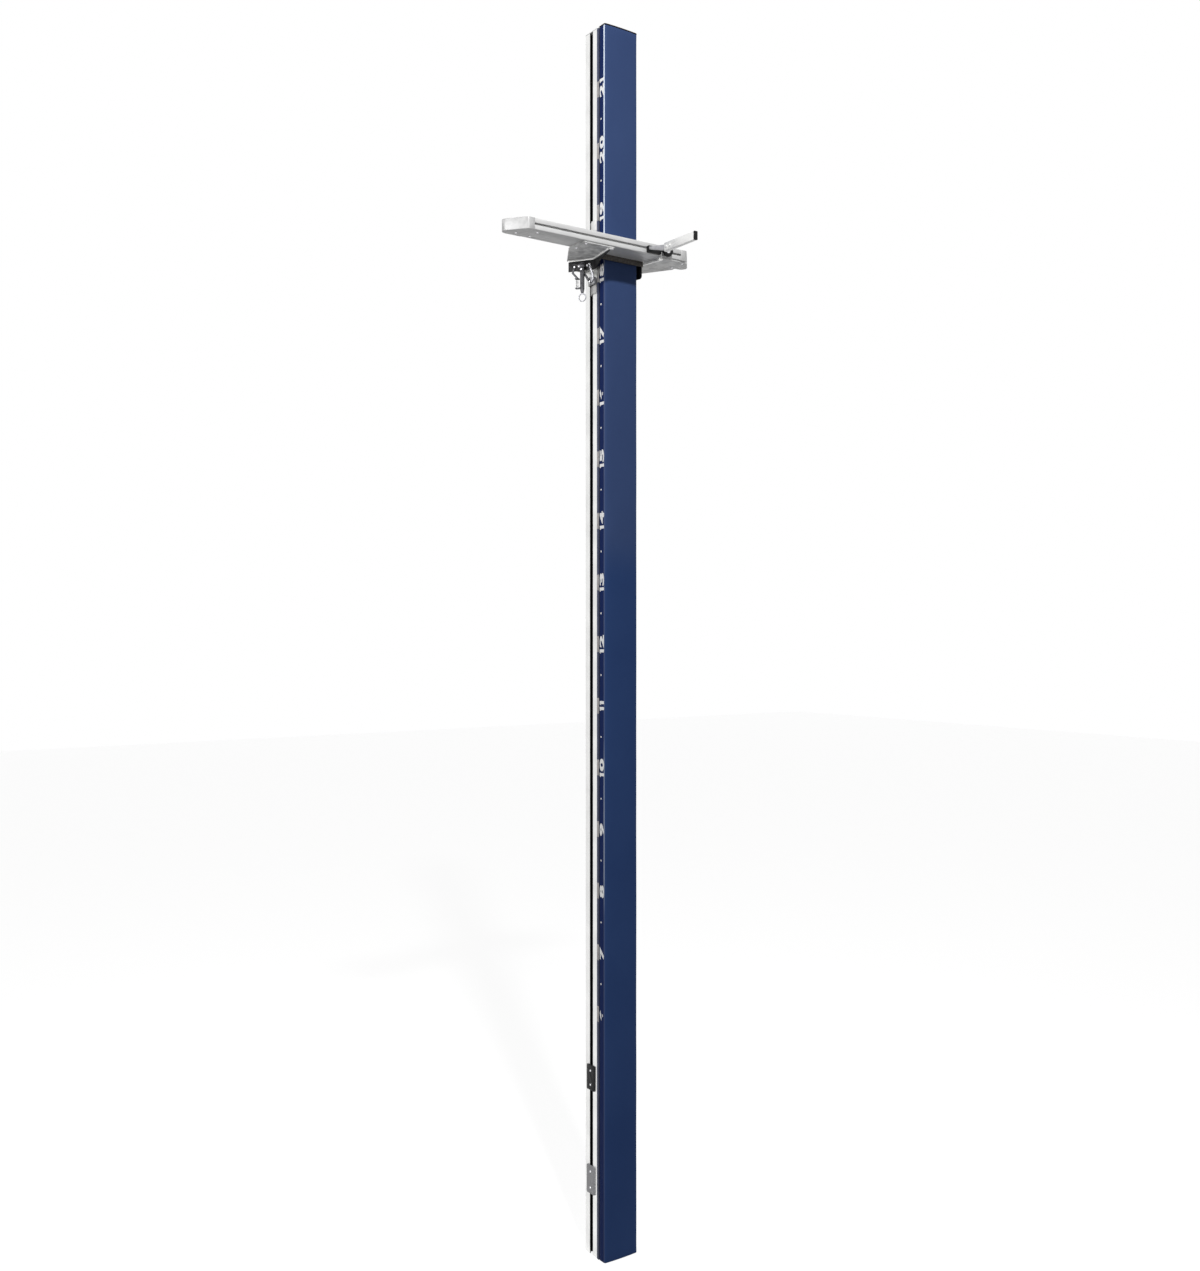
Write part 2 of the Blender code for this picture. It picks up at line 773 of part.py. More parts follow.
def glide_section():
    """The glide's plan section on the right side: a snug T with a lip over the slot's front edge."""
    snug = nut_section(SEAT_GAP)
    neck = SLOT_OPENING / 2 - SEAT_GAP
    face = HALF_WIDTH + SEAT_GAP
    outside = face + GLIDE_PROUD
    lip = [(face, -neck), (face, -GLIDE_FRONT_REACH), (outside, -GLIDE_FRONT_REACH), (outside, neck)]
    return fillet(lip, [0, 0, GLIDE_LIP_RADIUS, GLIDE_LIP_RADIUS], 2) + snug[2:]


def bolt_frames(side):
    """Seats of the bolts from the knuckle's inside into the slide bar."""
    seat = side * (HALF_WIDTH + RUN_GAP + KNUCKLE_WALL)
    low = SIDE_PLATE_TOP - KNUCKLE_HEIGHT + BOLT_INSET
    high = SIDE_PLATE_TOP - BOLT_INSET
    return [frame_of((seat, 0, height), (0, side, 0), (0, 0, 1)) for height in (low, high)]


def brake_window(bottom):
    """Room in the left slide bar for the brake pad to swing in."""
    outline = rectangle(
        -HALF_WIDTH - RUN_GAP,
        -CHAMBER_WIDTH,
        -HALF_WIDTH + SLOT_LIP + BRAKE_WINDOW,
        CHAMBER_WIDTH,
    )
    start = bottom - SHOE_HEIGHT
    top = SHOE_BOTTOM + SHOE_HEIGHT + 4 * RUN_GAP
    return plate([outline], top - start, plan_at(start))


def build_slides():
    lower_top = SLIDE_BOTTOM + GLIDE_LOWER_HEIGHT
    upper_bottom = SLIDE_TOP - GLIDE_UPPER_HEIGHT
    for side, word in SIDES:
        bar_length = upper_bottom - lower_top - 2 * SEAT_GAP
        slide = plate([mirrored(slide_section(), side)], bar_length, plan_at(lower_top + SEAT_GAP))
        if side == LEFT:
            slide = cut(slide, brake_window(lower_top + SEAT_GAP))
        shank = KNUCKLE_WALL + SLOT_LIP + SLIDE_FLANGE_DEPTH / 2
        bolts = [screw_body(frame, shank) for frame in bolt_frames(side)]
        finish(join(slide, *bolts), f"slide_bar_{word}", "steel")
        section = mirrored(glide_section(), side)
        lower = plate([section], GLIDE_LOWER_HEIGHT, plan_at(SLIDE_BOTTOM))
        finish(lower, f"glide_lower_{word}", "white_plastic")
        upper = plate([section], GLIDE_UPPER_HEIGHT, plan_at(upper_bottom))
        finish(upper, f"glide_upper_{word}", "white_plastic")


# Wing brackets

def wall_path(inward, trim=0.0):
    """The right wall's plan path, front to rear, moved inward and trimmed at both ends."""
    points = [WALL_FRONT, WALL_BEND, WALL_REAR]
    here = Vector(WALL_BEND)
    back = Vector(WALL_FRONT) - here
    ahead = Vector(WALL_REAR) - here
    turn = back.angle(ahead)
    cut_back = WALL_BEND_RADIUS / math.tan(turn / 2)
    inside = (back.normalized() + ahead.normalized()).normalized()
    centre = here + inside * WALL_BEND_RADIUS / math.sin(turn / 2)
    start = here + back.normalized() * cut_back - centre
    end = here + ahead.normalized() * cut_back - centre
    sweep = start.angle_signed(end)
    arc = []
    for step in range(ARC_STEPS + 1):
        spun = Matrix.Rotation(-sweep * step / ARC_STEPS, 2) @ start
        arc.append(tuple(centre + spun))
    front = here + back - back.normalized() * trim
    rear = here + ahead - ahead.normalized() * trim
    return offset_path([tuple(front), *arc, tuple(rear)], inward)


def wing_outline():
    """The right flange's plan outline, from beside the upright out to the arm and back."""
    near = HALF_WIDTH + RUN_GAP
    front = ARM_FRONT + WING_FRONT_INSET
    arm_rear = ARM_BACK + WING_THICKNESS
    bend_x, bend_y = WALL_BEND
    nose_x, nose_y = WALL_FRONT
    rear_x, rear_y = WALL_REAR
    points = [
        (near, bend_y - WING_THICKNESS),
        (bend_x - WING_THICKNESS, bend_y - WING_THICKNESS),
        (nose_x - WING_THICKNESS, nose_y + NOSE_DEPTH),
        (nose_x - NOSE_INWARD - RIM_TRIM, nose_y + NOSE_CORNER),
        (nose_x - NOSE_INWARD - RIM_TRIM, front),
        (WING_EDGE, front),
        (WING_EDGE, arm_rear),
        (rear_x + WING_CORNER, rear_y + RIM_TRIM),
        (near, rear_y + RIM_TRIM),
    ]
    radii = [
        WING_NEAR_RADIUS, WING_BEND_RADIUS, WING_REAR_RADIUS, WING_REAR_RADIUS, WING_REAR_RADIUS,
        WING_NOSE_RADIUS, WING_ARM_RADIUS, WING_REAR_RADIUS, WING_NEAR_RADIUS,
    ]
    return fillet(points, radii)


def build_wings():
    for side, word in SIDES:
        flange = plate([mirrored(wing_outline(), side)], WING_THICKNESS, plan_at(WING_BOTTOM))
        rim_path = wall_path(-SEAT_GAP)
        rim_loop = band(rim_path, 0.0, -WING_THICKNESS)
        rim_height = RIM_HEIGHT + WING_THICKNESS / 2
        rim = plate([mirrored(rim_loop, side)], rim_height, plan_at(WING_BOTTOM - RIM_HEIGHT))
        bend_path = wall_path(-SEAT_GAP, RIM_TRIM)
        bend_loop = band(bend_path, -WING_THICKNESS / 2, -WING_THICKNESS - RIM_FILLET)
        bend_height = RIM_FILLET + WING_THICKNESS / 3
        bend = plate([mirrored(bend_loop, side)], bend_height, plan_at(WING_BOTTOM - RIM_FILLET / 2))
        nose_outline = rectangle(
            WALL_FRONT[0] - NOSE_INWARD,
            WALL_FRONT[1] - NOSE_DEPTH,
            WALL_FRONT[0] + WING_THICKNESS + RIM_TRIM,
            WALL_FRONT[1] + RIM_TRIM,
            NOSE_CORNER,
        )
        nose = plate([mirrored(nose_outline, side)], rim_height - RIM_TRIM, plan_at(WING_BOTTOM - RIM_HEIGHT))
        wing = join(flange, rim, bend, nose)
        wing = screw_holes(wing, wing_screw_frames(side), HOLE_REACH)
        finish(wing, f"wing_bracket_{word}", "cast_aluminium")
        below = Matrix.Translation((0, 0, WING_BOTTOM - WING_TOP))
        front_frame = wing_screw_frames(side)[0]
        finish(screw_body(below @ front_frame, 2 * WING_THICKNESS), f"wing_screw_{word}", "steel")


def wing_screw_frames(side):
    """Frames under the arm's bottom face where the flange's screws go up into it."""
    x = side * (WING_EDGE - WING_SCREW_INSET)
    front = ARM_FRONT + WING_SCREW_FROM_ARM_EDGE
    back = ARM_BACK - WING_SCREW_FROM_ARM_EDGE
    return [frame_of((x, y, WING_TOP), (1, 0, 0), (0, -1, 0)) for y in (front, back)]


def build_front_strap():
    """A flat bar screwed to the arm's back, whose lower half keeps the pad off the arm's edge."""
    half = STRAP_LENGTH / 2
    low = ARM_BOTTOM - STRAP_BELOW
    outline = rectangle(-half, low, half, low + STRAP_HEIGHT, STRAP_CORNER)
    front = ARM_BACK + SEAT_GAP
    bar_solid = plate([outline], STRAP_THICKNESS, front_at(front + STRAP_THICKNESS))
    finish(screw_holes(bar_solid, strap_screw_frames(), HOLE_REACH), "front_strap", "steel")


def strap_screw_frames():
    """Frames on the strap's rear face, where its screws go forward into the arm."""
    height = ARM_BOTTOM + STRAP_SCREW_HEIGHT
    rear = ARM_BACK + SEAT_GAP + STRAP_THICKNESS
    return [frame_of((side * STRAP_SCREW_PLACE, rear, height), (-1, 0, 0), (0, 0, 1)) for side, _ in SIDES]


def left_plate_profile():
    """The left plate's shape from the side: full height beside the upright, then up to a thin tip."""
    knee_y, knee_height = SIDE_PLATE_KNEE
    beyond = 2 * WALL_REAR[1]
    above = SIDE_PLATE_TOP + SIDE_PLATE_HEIGHT
    front = WALL_FRONT[1] + RIM_TRIM + SEAT_GAP
    return [
        (beyond, above),
        (front, above),
        (front, SIDE_PLATE_TOP - SIDE_PLATE_TIP_HEIGHT),
        (knee_y, SIDE_PLATE_TOP - knee_height),
        (WALL_BEND[1] - WALL_BEND_RADIUS / 2, SIDE_PLATE_BOTTOM),
        (beyond, SIDE_PLATE_BOTTOM),
    ]


def right_plate_profile():
    """The right plate's shape from the side: taller, and ended beside the pad with a round corner."""
    beyond = 2 * WALL_REAR[1]
    above = SIDE_PLATE_TOP + SIDE_PLATE_HEIGHT
    below = SIDE_PLATE_TOP - RIGHT_PLATE_HEIGHT
    outline = [(beyond, above), (RIGHT_PLATE_FRONT, above), (RIGHT_PLATE_FRONT, below), (beyond, below)]
    return fillet(outline, [0, 0, RIGHT_PLATE_CORNER, 0])


def build_side_plates():
    deepest = SIDE_PLATE_TOP - 2 * RIGHT_PLATE_HEIGHT
    for side, word in SIDES:
        loop = band(wall_path(0.0), 0.0, SIDE_PLATE_THICKNESS)
        solid = plate([mirrored(loop, side)], 2 * RIGHT_PLATE_HEIGHT, plan_at(deepest))
        profile = left_plate_profile() if side == LEFT else right_plate_profile()
        shadow = plate([profile], 3 * WALL_REAR[0], section_at(-1.5 * WALL_REAR[0]))
        solid = combined(solid, [shadow], "INTERSECT")
        finish(screw_holes(solid, side_screw_frames(side), HOLE_REACH), f"side_plate_{word}", "black_paint")
        loops = [mirrored(loop, side) for loop in knuckle_loops()]
        knuckle = plate(loops, KNUCKLE_HEIGHT, plan_at(SIDE_PLATE_TOP - KNUCKLE_HEIGHT))
        knuckle = screw_holes(knuckle, bolt_frames(side) + side_screw_frames(side), HOLE_REACH)
        finish(knuckle, f"knuckle_{word}", "cast_aluminium")
    outside = Matrix.Translation((0, 0, SEAT_GAP + GUIDE_STRAP))
    names = ("anchor_screw", "guide_screw_rear", "guide_screw_front")
    for name, frame in zip(names, side_screw_frames(LEFT)):
        finish(screw_body(frame @ outside, SIDE_SCREW_SHANK), name, "steel")


def knuckle_loops():
    """The right knuckle's plan section: a hollow casting from the slot out to the side plate's back."""
    near = HALF_WIDTH + RUN_GAP
    rib = SLOT_OPENING / 2 - RUN_GAP
    back = SIDE_PLATE_THICKNESS + SEAT_GAP
    rear_wall = wall_plan(KNUCKLE_REAR, -back)
    front_wall = wall_plan(KNUCKLE_FRONT, -back)
    outer = [
        (near, front_wall[1]),
        (near, -rib),
        (HALF_WIDTH, -rib),
        (HALF_WIDTH, rib),
        (near, rib),
        (near, rear_wall[1]),
        (-rear_wall[0], rear_wall[1]),
        (-front_wall[0], front_wall[1]),
    ]
    slope = (Vector(rear_wall) - Vector(front_wall)).normalized()
    normal = Vector((slope.y, -slope.x)) * KNUCKLE_WALL
    low_y = front_wall[1] + KNUCKLE_FRONT_WALL
    high_y = rear_wall[1] - KNUCKLE_WALL
    near_x = near + KNUCKLE_WALL

    def wall_x(y):
        share = (y - front_wall[1] - normal.y) / (rear_wall[1] - front_wall[1])
        x = front_wall[0] + normal.x + share * (rear_wall[0] - front_wall[0])
        return -x

    inner = [
        (near_x, low_y),
        (near_x, high_y),
        (wall_x(high_y), high_y),
        (wall_x(low_y), low_y),
    ]
    return [outer, fillet(inner, [KNUCKLE_CORNER] * 4, 3)]


def side_screw_frames(side):
    """Seats on the side plate's face, pointing out towards the linkage."""
    frames = []
    places = [ANCHOR_TOP] + [(foot, guide_middle()) for foot in guide_feet()]
    for a, z in places:
        place = wall_at(0.0) @ Vector((a, z, 0))
        facing = (wall_at(0.0).to_3x3() @ Vector((0, 0, 1))).normalized()
        place.x *= -side
        facing.x *= -side
        across = Vector((0, 0, 1)).cross(facing)
        frames.append(frame_of(place, across, (0, 0, 1)))
    return frames


# Linkage

def layer(index):
    """The near face's depth of linkage layer 0 (hanger), 1 (link), 2 (rod) or 3 (guide strap)."""
    sizes = [HANGER_THICKNESS, LINK_THICKNESS, ROD_THICKNESS]
    return LAYER_GAP + sum(sizes[:index]) + index * LAYER_GAP


def guide_middle():
    return GUIDE_BOTTOM + GUIDE_HEIGHT / 2


def guide_feet():
    """The places along the wall of the two screws that hold the guide's feet."""
    reach = ROD_WIDTH / 2 + SEAT_GAP * 2 + GUIDE_STRAP + GUIDE_FOOT / 2
    return (ROD_PLACE - reach, ROD_PLACE + reach)


def build_guide():
    """A hat-shaped strap that holds the rod to the wall."""
    half = ROD_WIDTH / 2 + SEAT_GAP * 2
    inside = layer(3)
    outside = inside + GUIDE_STRAP
    ends = half + GUIDE_STRAP + GUIDE_FOOT
    foot = SEAT_GAP + GUIDE_STRAP
    profile = [
        (-ends, SEAT_GAP),
        (-half, SEAT_GAP),
        (-half, inside),
        (half, inside),
        (half, SEAT_GAP),
        (ends, SEAT_GAP),
        (ends, foot),
        (half + GUIDE_STRAP, foot),
        (half + GUIDE_STRAP, outside),
        (-half - GUIDE_STRAP, outside),
        (-half - GUIDE_STRAP, foot),
        (-ends, foot),
    ]
    loop = [wall_plan(ROD_PLACE + a, depth) for a, depth in profile]
    guide = plate([loop], GUIDE_HEIGHT, plan_at(GUIDE_BOTTOM))
    holes = side_screw_frames(LEFT)[1:]
    finish(screw_holes(guide, holes, HOLE_REACH), "rod_guide", "steel")


def build_anchor():
    """The fixed strap whose foot the return spring hangs from."""
    path = [ANCHOR_TOP, ANCHOR_KNEE, ANCHOR_FOOT]
    strap = plate([bar(path, ANCHOR_WIDTH)], GUIDE_STRAP, wall_at(SEAT_GAP))
    foot_low = SPRING_TOP + SEAT_GAP
    foot_near = ANCHOR_FOOT[0] - ANCHOR_FOOT_REACH
    foot_far = SPRING_PLACE + SPRING_RADIUS + SEAT_MARGIN
    foot_reach = spring_depth() + SPRING_RADIUS + SEAT_SIDE - SEAT_GAP
    foot_outline = rectangle(foot_near, foot_low, foot_far, foot_low + SEAT_PLATE)
    anchor = join(strap, plate([foot_outline], foot_reach, wall_at(SEAT_GAP)))
    finish(screw_holes(anchor, side_screw_frames(LEFT)[:1], HOLE_REACH), "spring_anchor", "steel")


def spring_depth():
    return layer(2) + ROD_THICKNESS / 2


def build_spring():
    """The return spring, one wire coiled between the strap's foot and the rod's lug."""
    centre = wall_plan(SPRING_PLACE, spring_depth())
    points = []
    total = SPRING_CURLS * SPRING_POINTS
    low = SPRING_TOP - SPRING_HEIGHT + SPRING_WIRE
    rise = SPRING_HEIGHT - 2 * SPRING_WIRE
    for step in range(total + 1):
        turn = step / SPRING_POINTS
        share = step / total
        angle = 2 * math.pi * turn
        points.append(
            Vector(
                (
                    centre[0] + SPRING_RADIUS * math.cos(angle),
                    centre[1] + SPRING_RADIUS * math.sin(angle),
                    low + rise * share,
                )
            )
        )
    gaps = [
        (points[i] - points[j]).length - 2 * SPRING_WIRE
        for i in range(len(points))
        for j in range(i + SPRING_POINTS // 2, len(points))
    ]
    print(f"return spring: least gap to itself {min(gaps) * 1000:.2f} mm")
    curve = bpy.data.curves.new("spring", "CURVE")
    curve.dimensions = "3D"
    curve.bevel_depth = SPRING_WIRE
    curve.bevel_resolution = 1
    curve.use_fill_caps = True
    spline = curve.splines.new("POLY")
    spline.points.add(len(points) - 1)
    for point, place in zip(spline.points, points):
        point.co = (*place, 1)
    finish(as_mesh(bpy.data.objects.new("spring", curve)), "return_spring", "steel")


def build_rod():
    """The pull rod, with the lug that stretches the spring, the ring at its foot and the link's pin."""
    half = ROD_WIDTH / 2
    neck = ROD_NECK_WIDTH / 2
    bottom = RING_CENTRE + RING_RADIUS + RING_WIRE + SEAT_GAP
    shoulder = bottom + ROD_TAPER
    outline = [
        (ROD_PLACE - neck, bottom),
        (ROD_PLACE + neck, bottom),
        (ROD_PLACE + half, shoulder),
        (ROD_PLACE + half, ROD_TOP),
        (ROD_PLACE - half, ROD_TOP),
        (ROD_PLACE - half, shoulder),
    ]
    radii = [
        ROD_NECK_RADIUS, ROD_NECK_RADIUS, ROD_SHOULDER_RADIUS,
        ROD_TOP_RADIUS, ROD_TOP_RADIUS, ROD_SHOULDER_RADIUS,
    ]
    rod = plate([fillet(outline, radii, 4)], ROD_THICKNESS, wall_at(layer(2)))
    lug_top = SPRING_TOP - SPRING_HEIGHT - SEAT_GAP
    lug_left = SPRING_PLACE - SPRING_RADIUS - SEAT_MARGIN
    lug_outline = rectangle(lug_left, lug_top - SEAT_PLATE, ROD_PLACE - half + ROD_LUG_OVERLAP, lug_top)
    lug_depth = spring_depth() - SPRING_RADIUS - SEAT_SIDE
    rod = join(rod, plate([lug_outline], 2 * (SPRING_RADIUS + SEAT_SIDE), wall_at(lug_depth)))
    pin = wall_at(0.0) @ Matrix.Translation((LINK_TOP[0], LINK_TOP[1], 0))
    finish(drilled(rod, [pin], PIN_RADIUS + PIN_CLEARANCE, BLIND_HOLE_REACH), "pull_rod", "steel")
    centre = wall_at(spring_depth()) @ Matrix.Translation((ROD_PLACE, RING_CENTRE, 0))
    bpy.ops.mesh.primitive_torus_add(
        major_radius=RING_RADIUS, minor_radius=RING_WIRE, major_segments=32, minor_segments=10
    )
    ring = bpy.context.object
    ring.data.transform(centre)
    for collection in list(ring.users_collection):
        collection.objects.unlink(ring)
    finish(ring, "pull_ring", "steel")
    reach = layer(3) - layer(1) + LAYER_GAP
    low = layer(1) - LAYER_GAP / 2
    link_pin = turned(rod_profile(PIN_RADIUS, reach), pin @ Matrix.Translation((0, 0, low)), 16)
    finish(link_pin, "link_pin", "steel")


def build_link():
    loops = [
        bar([LINK_TOP, LINK_FOOT], LINK_WIDTH, 8),
        circle(LINK_TOP, PIN_RADIUS + PIN_CLEARANCE),
        circle(LINK_FOOT, PIN_RADIUS + OPEN_PIVOT_CLEARANCE),
    ]
    finish(plate(loops, LINK_THICKNESS, wall_at(layer(1))), "brake_link", "steel")


def build_hanger():
    """The curved hanger, its pins, and the brake shoe that it presses on the upright's side."""
    path = smooth_path([HANGER_PIVOT, *HANGER_BELLY, LINK_FOOT], 4)
    loops = [
        bar(path, HANGER_WIDTH, 6),
        circle(HANGER_PIVOT, PIN_RADIUS + PIN_CLEARANCE),
        circle(LINK_FOOT, PIN_RADIUS + PIN_CLEARANCE),
    ]
    finish(plate(loops, HANGER_THICKNESS, wall_at(layer(0))), "brake_hanger", "steel")
    pivot = wall_at(0.0) @ Matrix.Translation((HANGER_PIVOT[0], HANGER_PIVOT[1], 0))
    pin_profile = [
        (0, SEAT_GAP),
        (PIN_RADIUS, SEAT_GAP),
        (PIN_RADIUS, layer(1) + SEAT_GAP),
        (PIN_HEAD_RADIUS, layer(1) + SEAT_GAP),
        (PIN_HEAD_EDGE_RADIUS, layer(1) + SEAT_GAP + PIN_HEAD_HEIGHT),
        (0, layer(1) + SEAT_GAP + PIN_HEAD_HEIGHT),
    ]
    finish(turned(pin_profile, pivot, 16), "hanger_pin", "steel")
    foot = wall_at(layer(0)) @ Matrix.Translation((LINK_FOOT[0], LINK_FOOT[1], 0))
    foot_pin = turned(rod_profile(PIN_RADIUS, layer(2) - layer(0)), foot, 16)
    finish(foot_pin, "shoe_pin", "steel")
    backing = -HALF_WIDTH - SHOE_STANDOFF
    front_y = WALL_BEND[1] - SEAT_GAP
    back = layer(0) - SEAT_GAP
    near_end = plan_on_wall(front_y, back)
    far_end = wall_plan(LINK_FOOT[0] - HANGER_WIDTH / 2, back)
    shoe = [(backing, front_y), (backing, SHOE_REAR), far_end, near_end]
    finish(plate([shoe], SHOE_HEIGHT, plan_at(SHOE_BOTTOM)), "brake_shoe", "cast_aluminium")
    lip_edge = SLOT_OPENING / 2 - SEAT_GAP
    pad_face = -HALF_WIDTH + BRAKE_PAD_BITE
    pad = rectangle(backing + SEAT_GAP, lip_edge - BRAKE_PAD_WIDTH, pad_face, lip_edge)
    finish(plate([pad], SHOE_HEIGHT, plan_at(SHOE_BOTTOM)), "brake_pad", "lining")


def plan_on_wall(y, depth):
    """The plan point at the given Y on a plane depth in front of the left wall's face."""
    start = Vector(wall_plan(0.0, depth))
    share = (y - start.y) / WALL_DIRECTION.y
    return (start.x + WALL_DIRECTION.x * share, y)


def smooth_path(points, steps):
    """A Catmull-Rom curve through the points."""
    ends = [points[0], *points, points[-1]]
    path = []
    for index in range(1, len(ends) - 2):
        p0, p1, p2, p3 = (Vector(point) for point in ends[index - 1 : index + 3])
        for step in range(steps):
            t = step / steps
            place = 0.5 * (
                2 * p1
                + (p2 - p0) * t
                + (2 * p0 - 5 * p1 + 4 * p2 - p3) * t * t
                + (3 * p1 - p0 - 3 * p2 + p3) * t * t * t
            )
            path.append(tuple(place))
    path.append(points[-1])
    return path


# Cross arm

def arm_point(depth, up):
    """A point of the arm's section, depth metres behind its front face and up from its middle."""
    return (ARM_FRONT + depth, ARM_MIDDLE + up)


def arm_loops():
    half = ARM_HEIGHT / 2
    mouth = ARM_SLOT_OPENING / 2
    chamber = ARM_CHAMBER_WIDTH / 2
    floor = ARM_SLOT_LIP + ARM_CHAMBER_DEPTH
    outer = [
        arm_point(0, -half),
        arm_point(ARM_DEPTH, -half),
        arm_point(ARM_DEPTH, half),
        arm_point(0, half),
        arm_point(0, mouth),
        arm_point(ARM_SLOT_LIP, mouth),
        arm_point(ARM_SLOT_LIP, chamber),
        arm_point(floor, chamber),
        arm_point(floor, -chamber),
        arm_point(ARM_SLOT_LIP, -chamber),
        arm_point(ARM_SLOT_LIP, -mouth),
        arm_point(0, -mouth),
    ]
    radii = [ARM_CORNER] * 4 + [0] * 8
    shelf = chamber + ARM_WALL
    top = half - ARM_WALL
    web = ARM_DEPTH / 2
    front_cell = [
        arm_point(ARM_WALL, -top),
        arm_point(web - ARM_WALL / 2, -top),
        arm_point(web - ARM_WALL / 2, top),
        arm_point(ARM_WALL, top),
        arm_point(ARM_WALL, shelf),
        arm_point(floor + ARM_WALL, shelf),
        arm_point(floor + ARM_WALL, -shelf),
        arm_point(ARM_WALL, -shelf),
    ]
    rear_cell = [
        arm_point(web + ARM_WALL / 2, -top),
        arm_point(ARM_DEPTH - ARM_WALL, -top),
        arm_point(ARM_DEPTH - ARM_WALL, top),
        arm_point(web + ARM_WALL / 2, top),
    ]
    return [fillet(outer, radii, 3), front_cell, rear_cell]


def end_cap_outline(side, seat):
    """The end cap's plan outline: straight, slanted back at its end, with a round nose at the rear."""
    corner = END_CAP_STRAIGHT
    reach = corner + ARM_DEPTH / math.tan(math.radians(END_CAP_SLANT_DEG))
    points = [(SEAT_GAP, ARM_FRONT), (corner, ARM_FRONT), (reach, ARM_BACK), (SEAT_GAP, ARM_BACK)]
    outline = fillet(points, [0, END_CAP_FRONT_RADIUS, END_CAP_NOSE_RADIUS, 0], 6)
    return [(seat + side * x, y) for x, y in outline]


def end_cap_screws(side, seat):
    """Frames on the arm's and the cap's underside, facing down."""
    inward = seat - side * CAP_SCREW_INWARD
    outward = seat + side * CAP_SCREW_OUTWARD
    places = [
        (inward, ARM_FRONT + CAP_SCREW_FROM_FRONT),
        (inward, ARM_BACK - CAP_SCREW_FROM_BACK),
        (outward, ARM_BACK - CAP_SCREW_FROM_NOSE),
    ]
    return [frame_of((x, y, ARM_BOTTOM), (1, 0, 0), (0, -1, 0)) for x, y in places]


def build_arm():
    length = ARM_RIGHT - ARM_LEFT
    arm = plate(arm_loops(), length, section_at(ARM_LEFT))
    holes = wing_screw_frames(LEFT) + [
        frame
        for frame in wing_screw_frames(RIGHT)
        if frame.translation.x < ARM_RIGHT
    ]
    holes += end_cap_screws(LEFT, ARM_LEFT)[:2] + end_cap_screws(RIGHT, ARM_RIGHT)[:2]
    holes += strap_screw_frames()
    finish(screw_holes(arm, holes, HOLE_REACH), "cross_arm", "aluminium")
    web = ARM_DEPTH / 2
    floor = ARM_SLOT_LIP + ARM_CHAMBER_DEPTH + ARM_WALL + SEAT_GAP
    top = ARM_HEIGHT / 2 - ARM_WALL - SEAT_GAP
    cells = [
        (floor, web - ARM_WALL / 2 - SEAT_GAP),
        (web + ARM_WALL / 2 + SEAT_GAP, ARM_DEPTH - ARM_WALL - SEAT_GAP),
    ]
    for side, word, seat in ((LEFT, "left", ARM_LEFT), (RIGHT, "right", ARM_RIGHT)):
        cap = plate([end_cap_outline(side, seat)], ARM_HEIGHT, plan_at(ARM_BOTTOM))
        start = seat - END_CAP_TONGUE if side == RIGHT else seat - END_CAP_OVERLAP
        tongues = []
        for low, high in cells:
            low_y, low_z = arm_point(low, -top)
            high_y, high_z = arm_point(high, top)
            tongue = plate(
                [rectangle(low_y, low_z, high_y, high_z)],
                END_CAP_TONGUE + END_CAP_OVERLAP,
                section_at(start),
            )
            tongues.append(tongue)
        cap = join(cap, *tongues)
        holes = end_cap_screws(side, seat)
        if side == RIGHT:
            holes += wing_screw_frames(RIGHT)
        finish(screw_holes(cap, holes, BLIND_HOLE_REACH), f"arm_end_cap_{word}", "aluminium")


# Peg arm

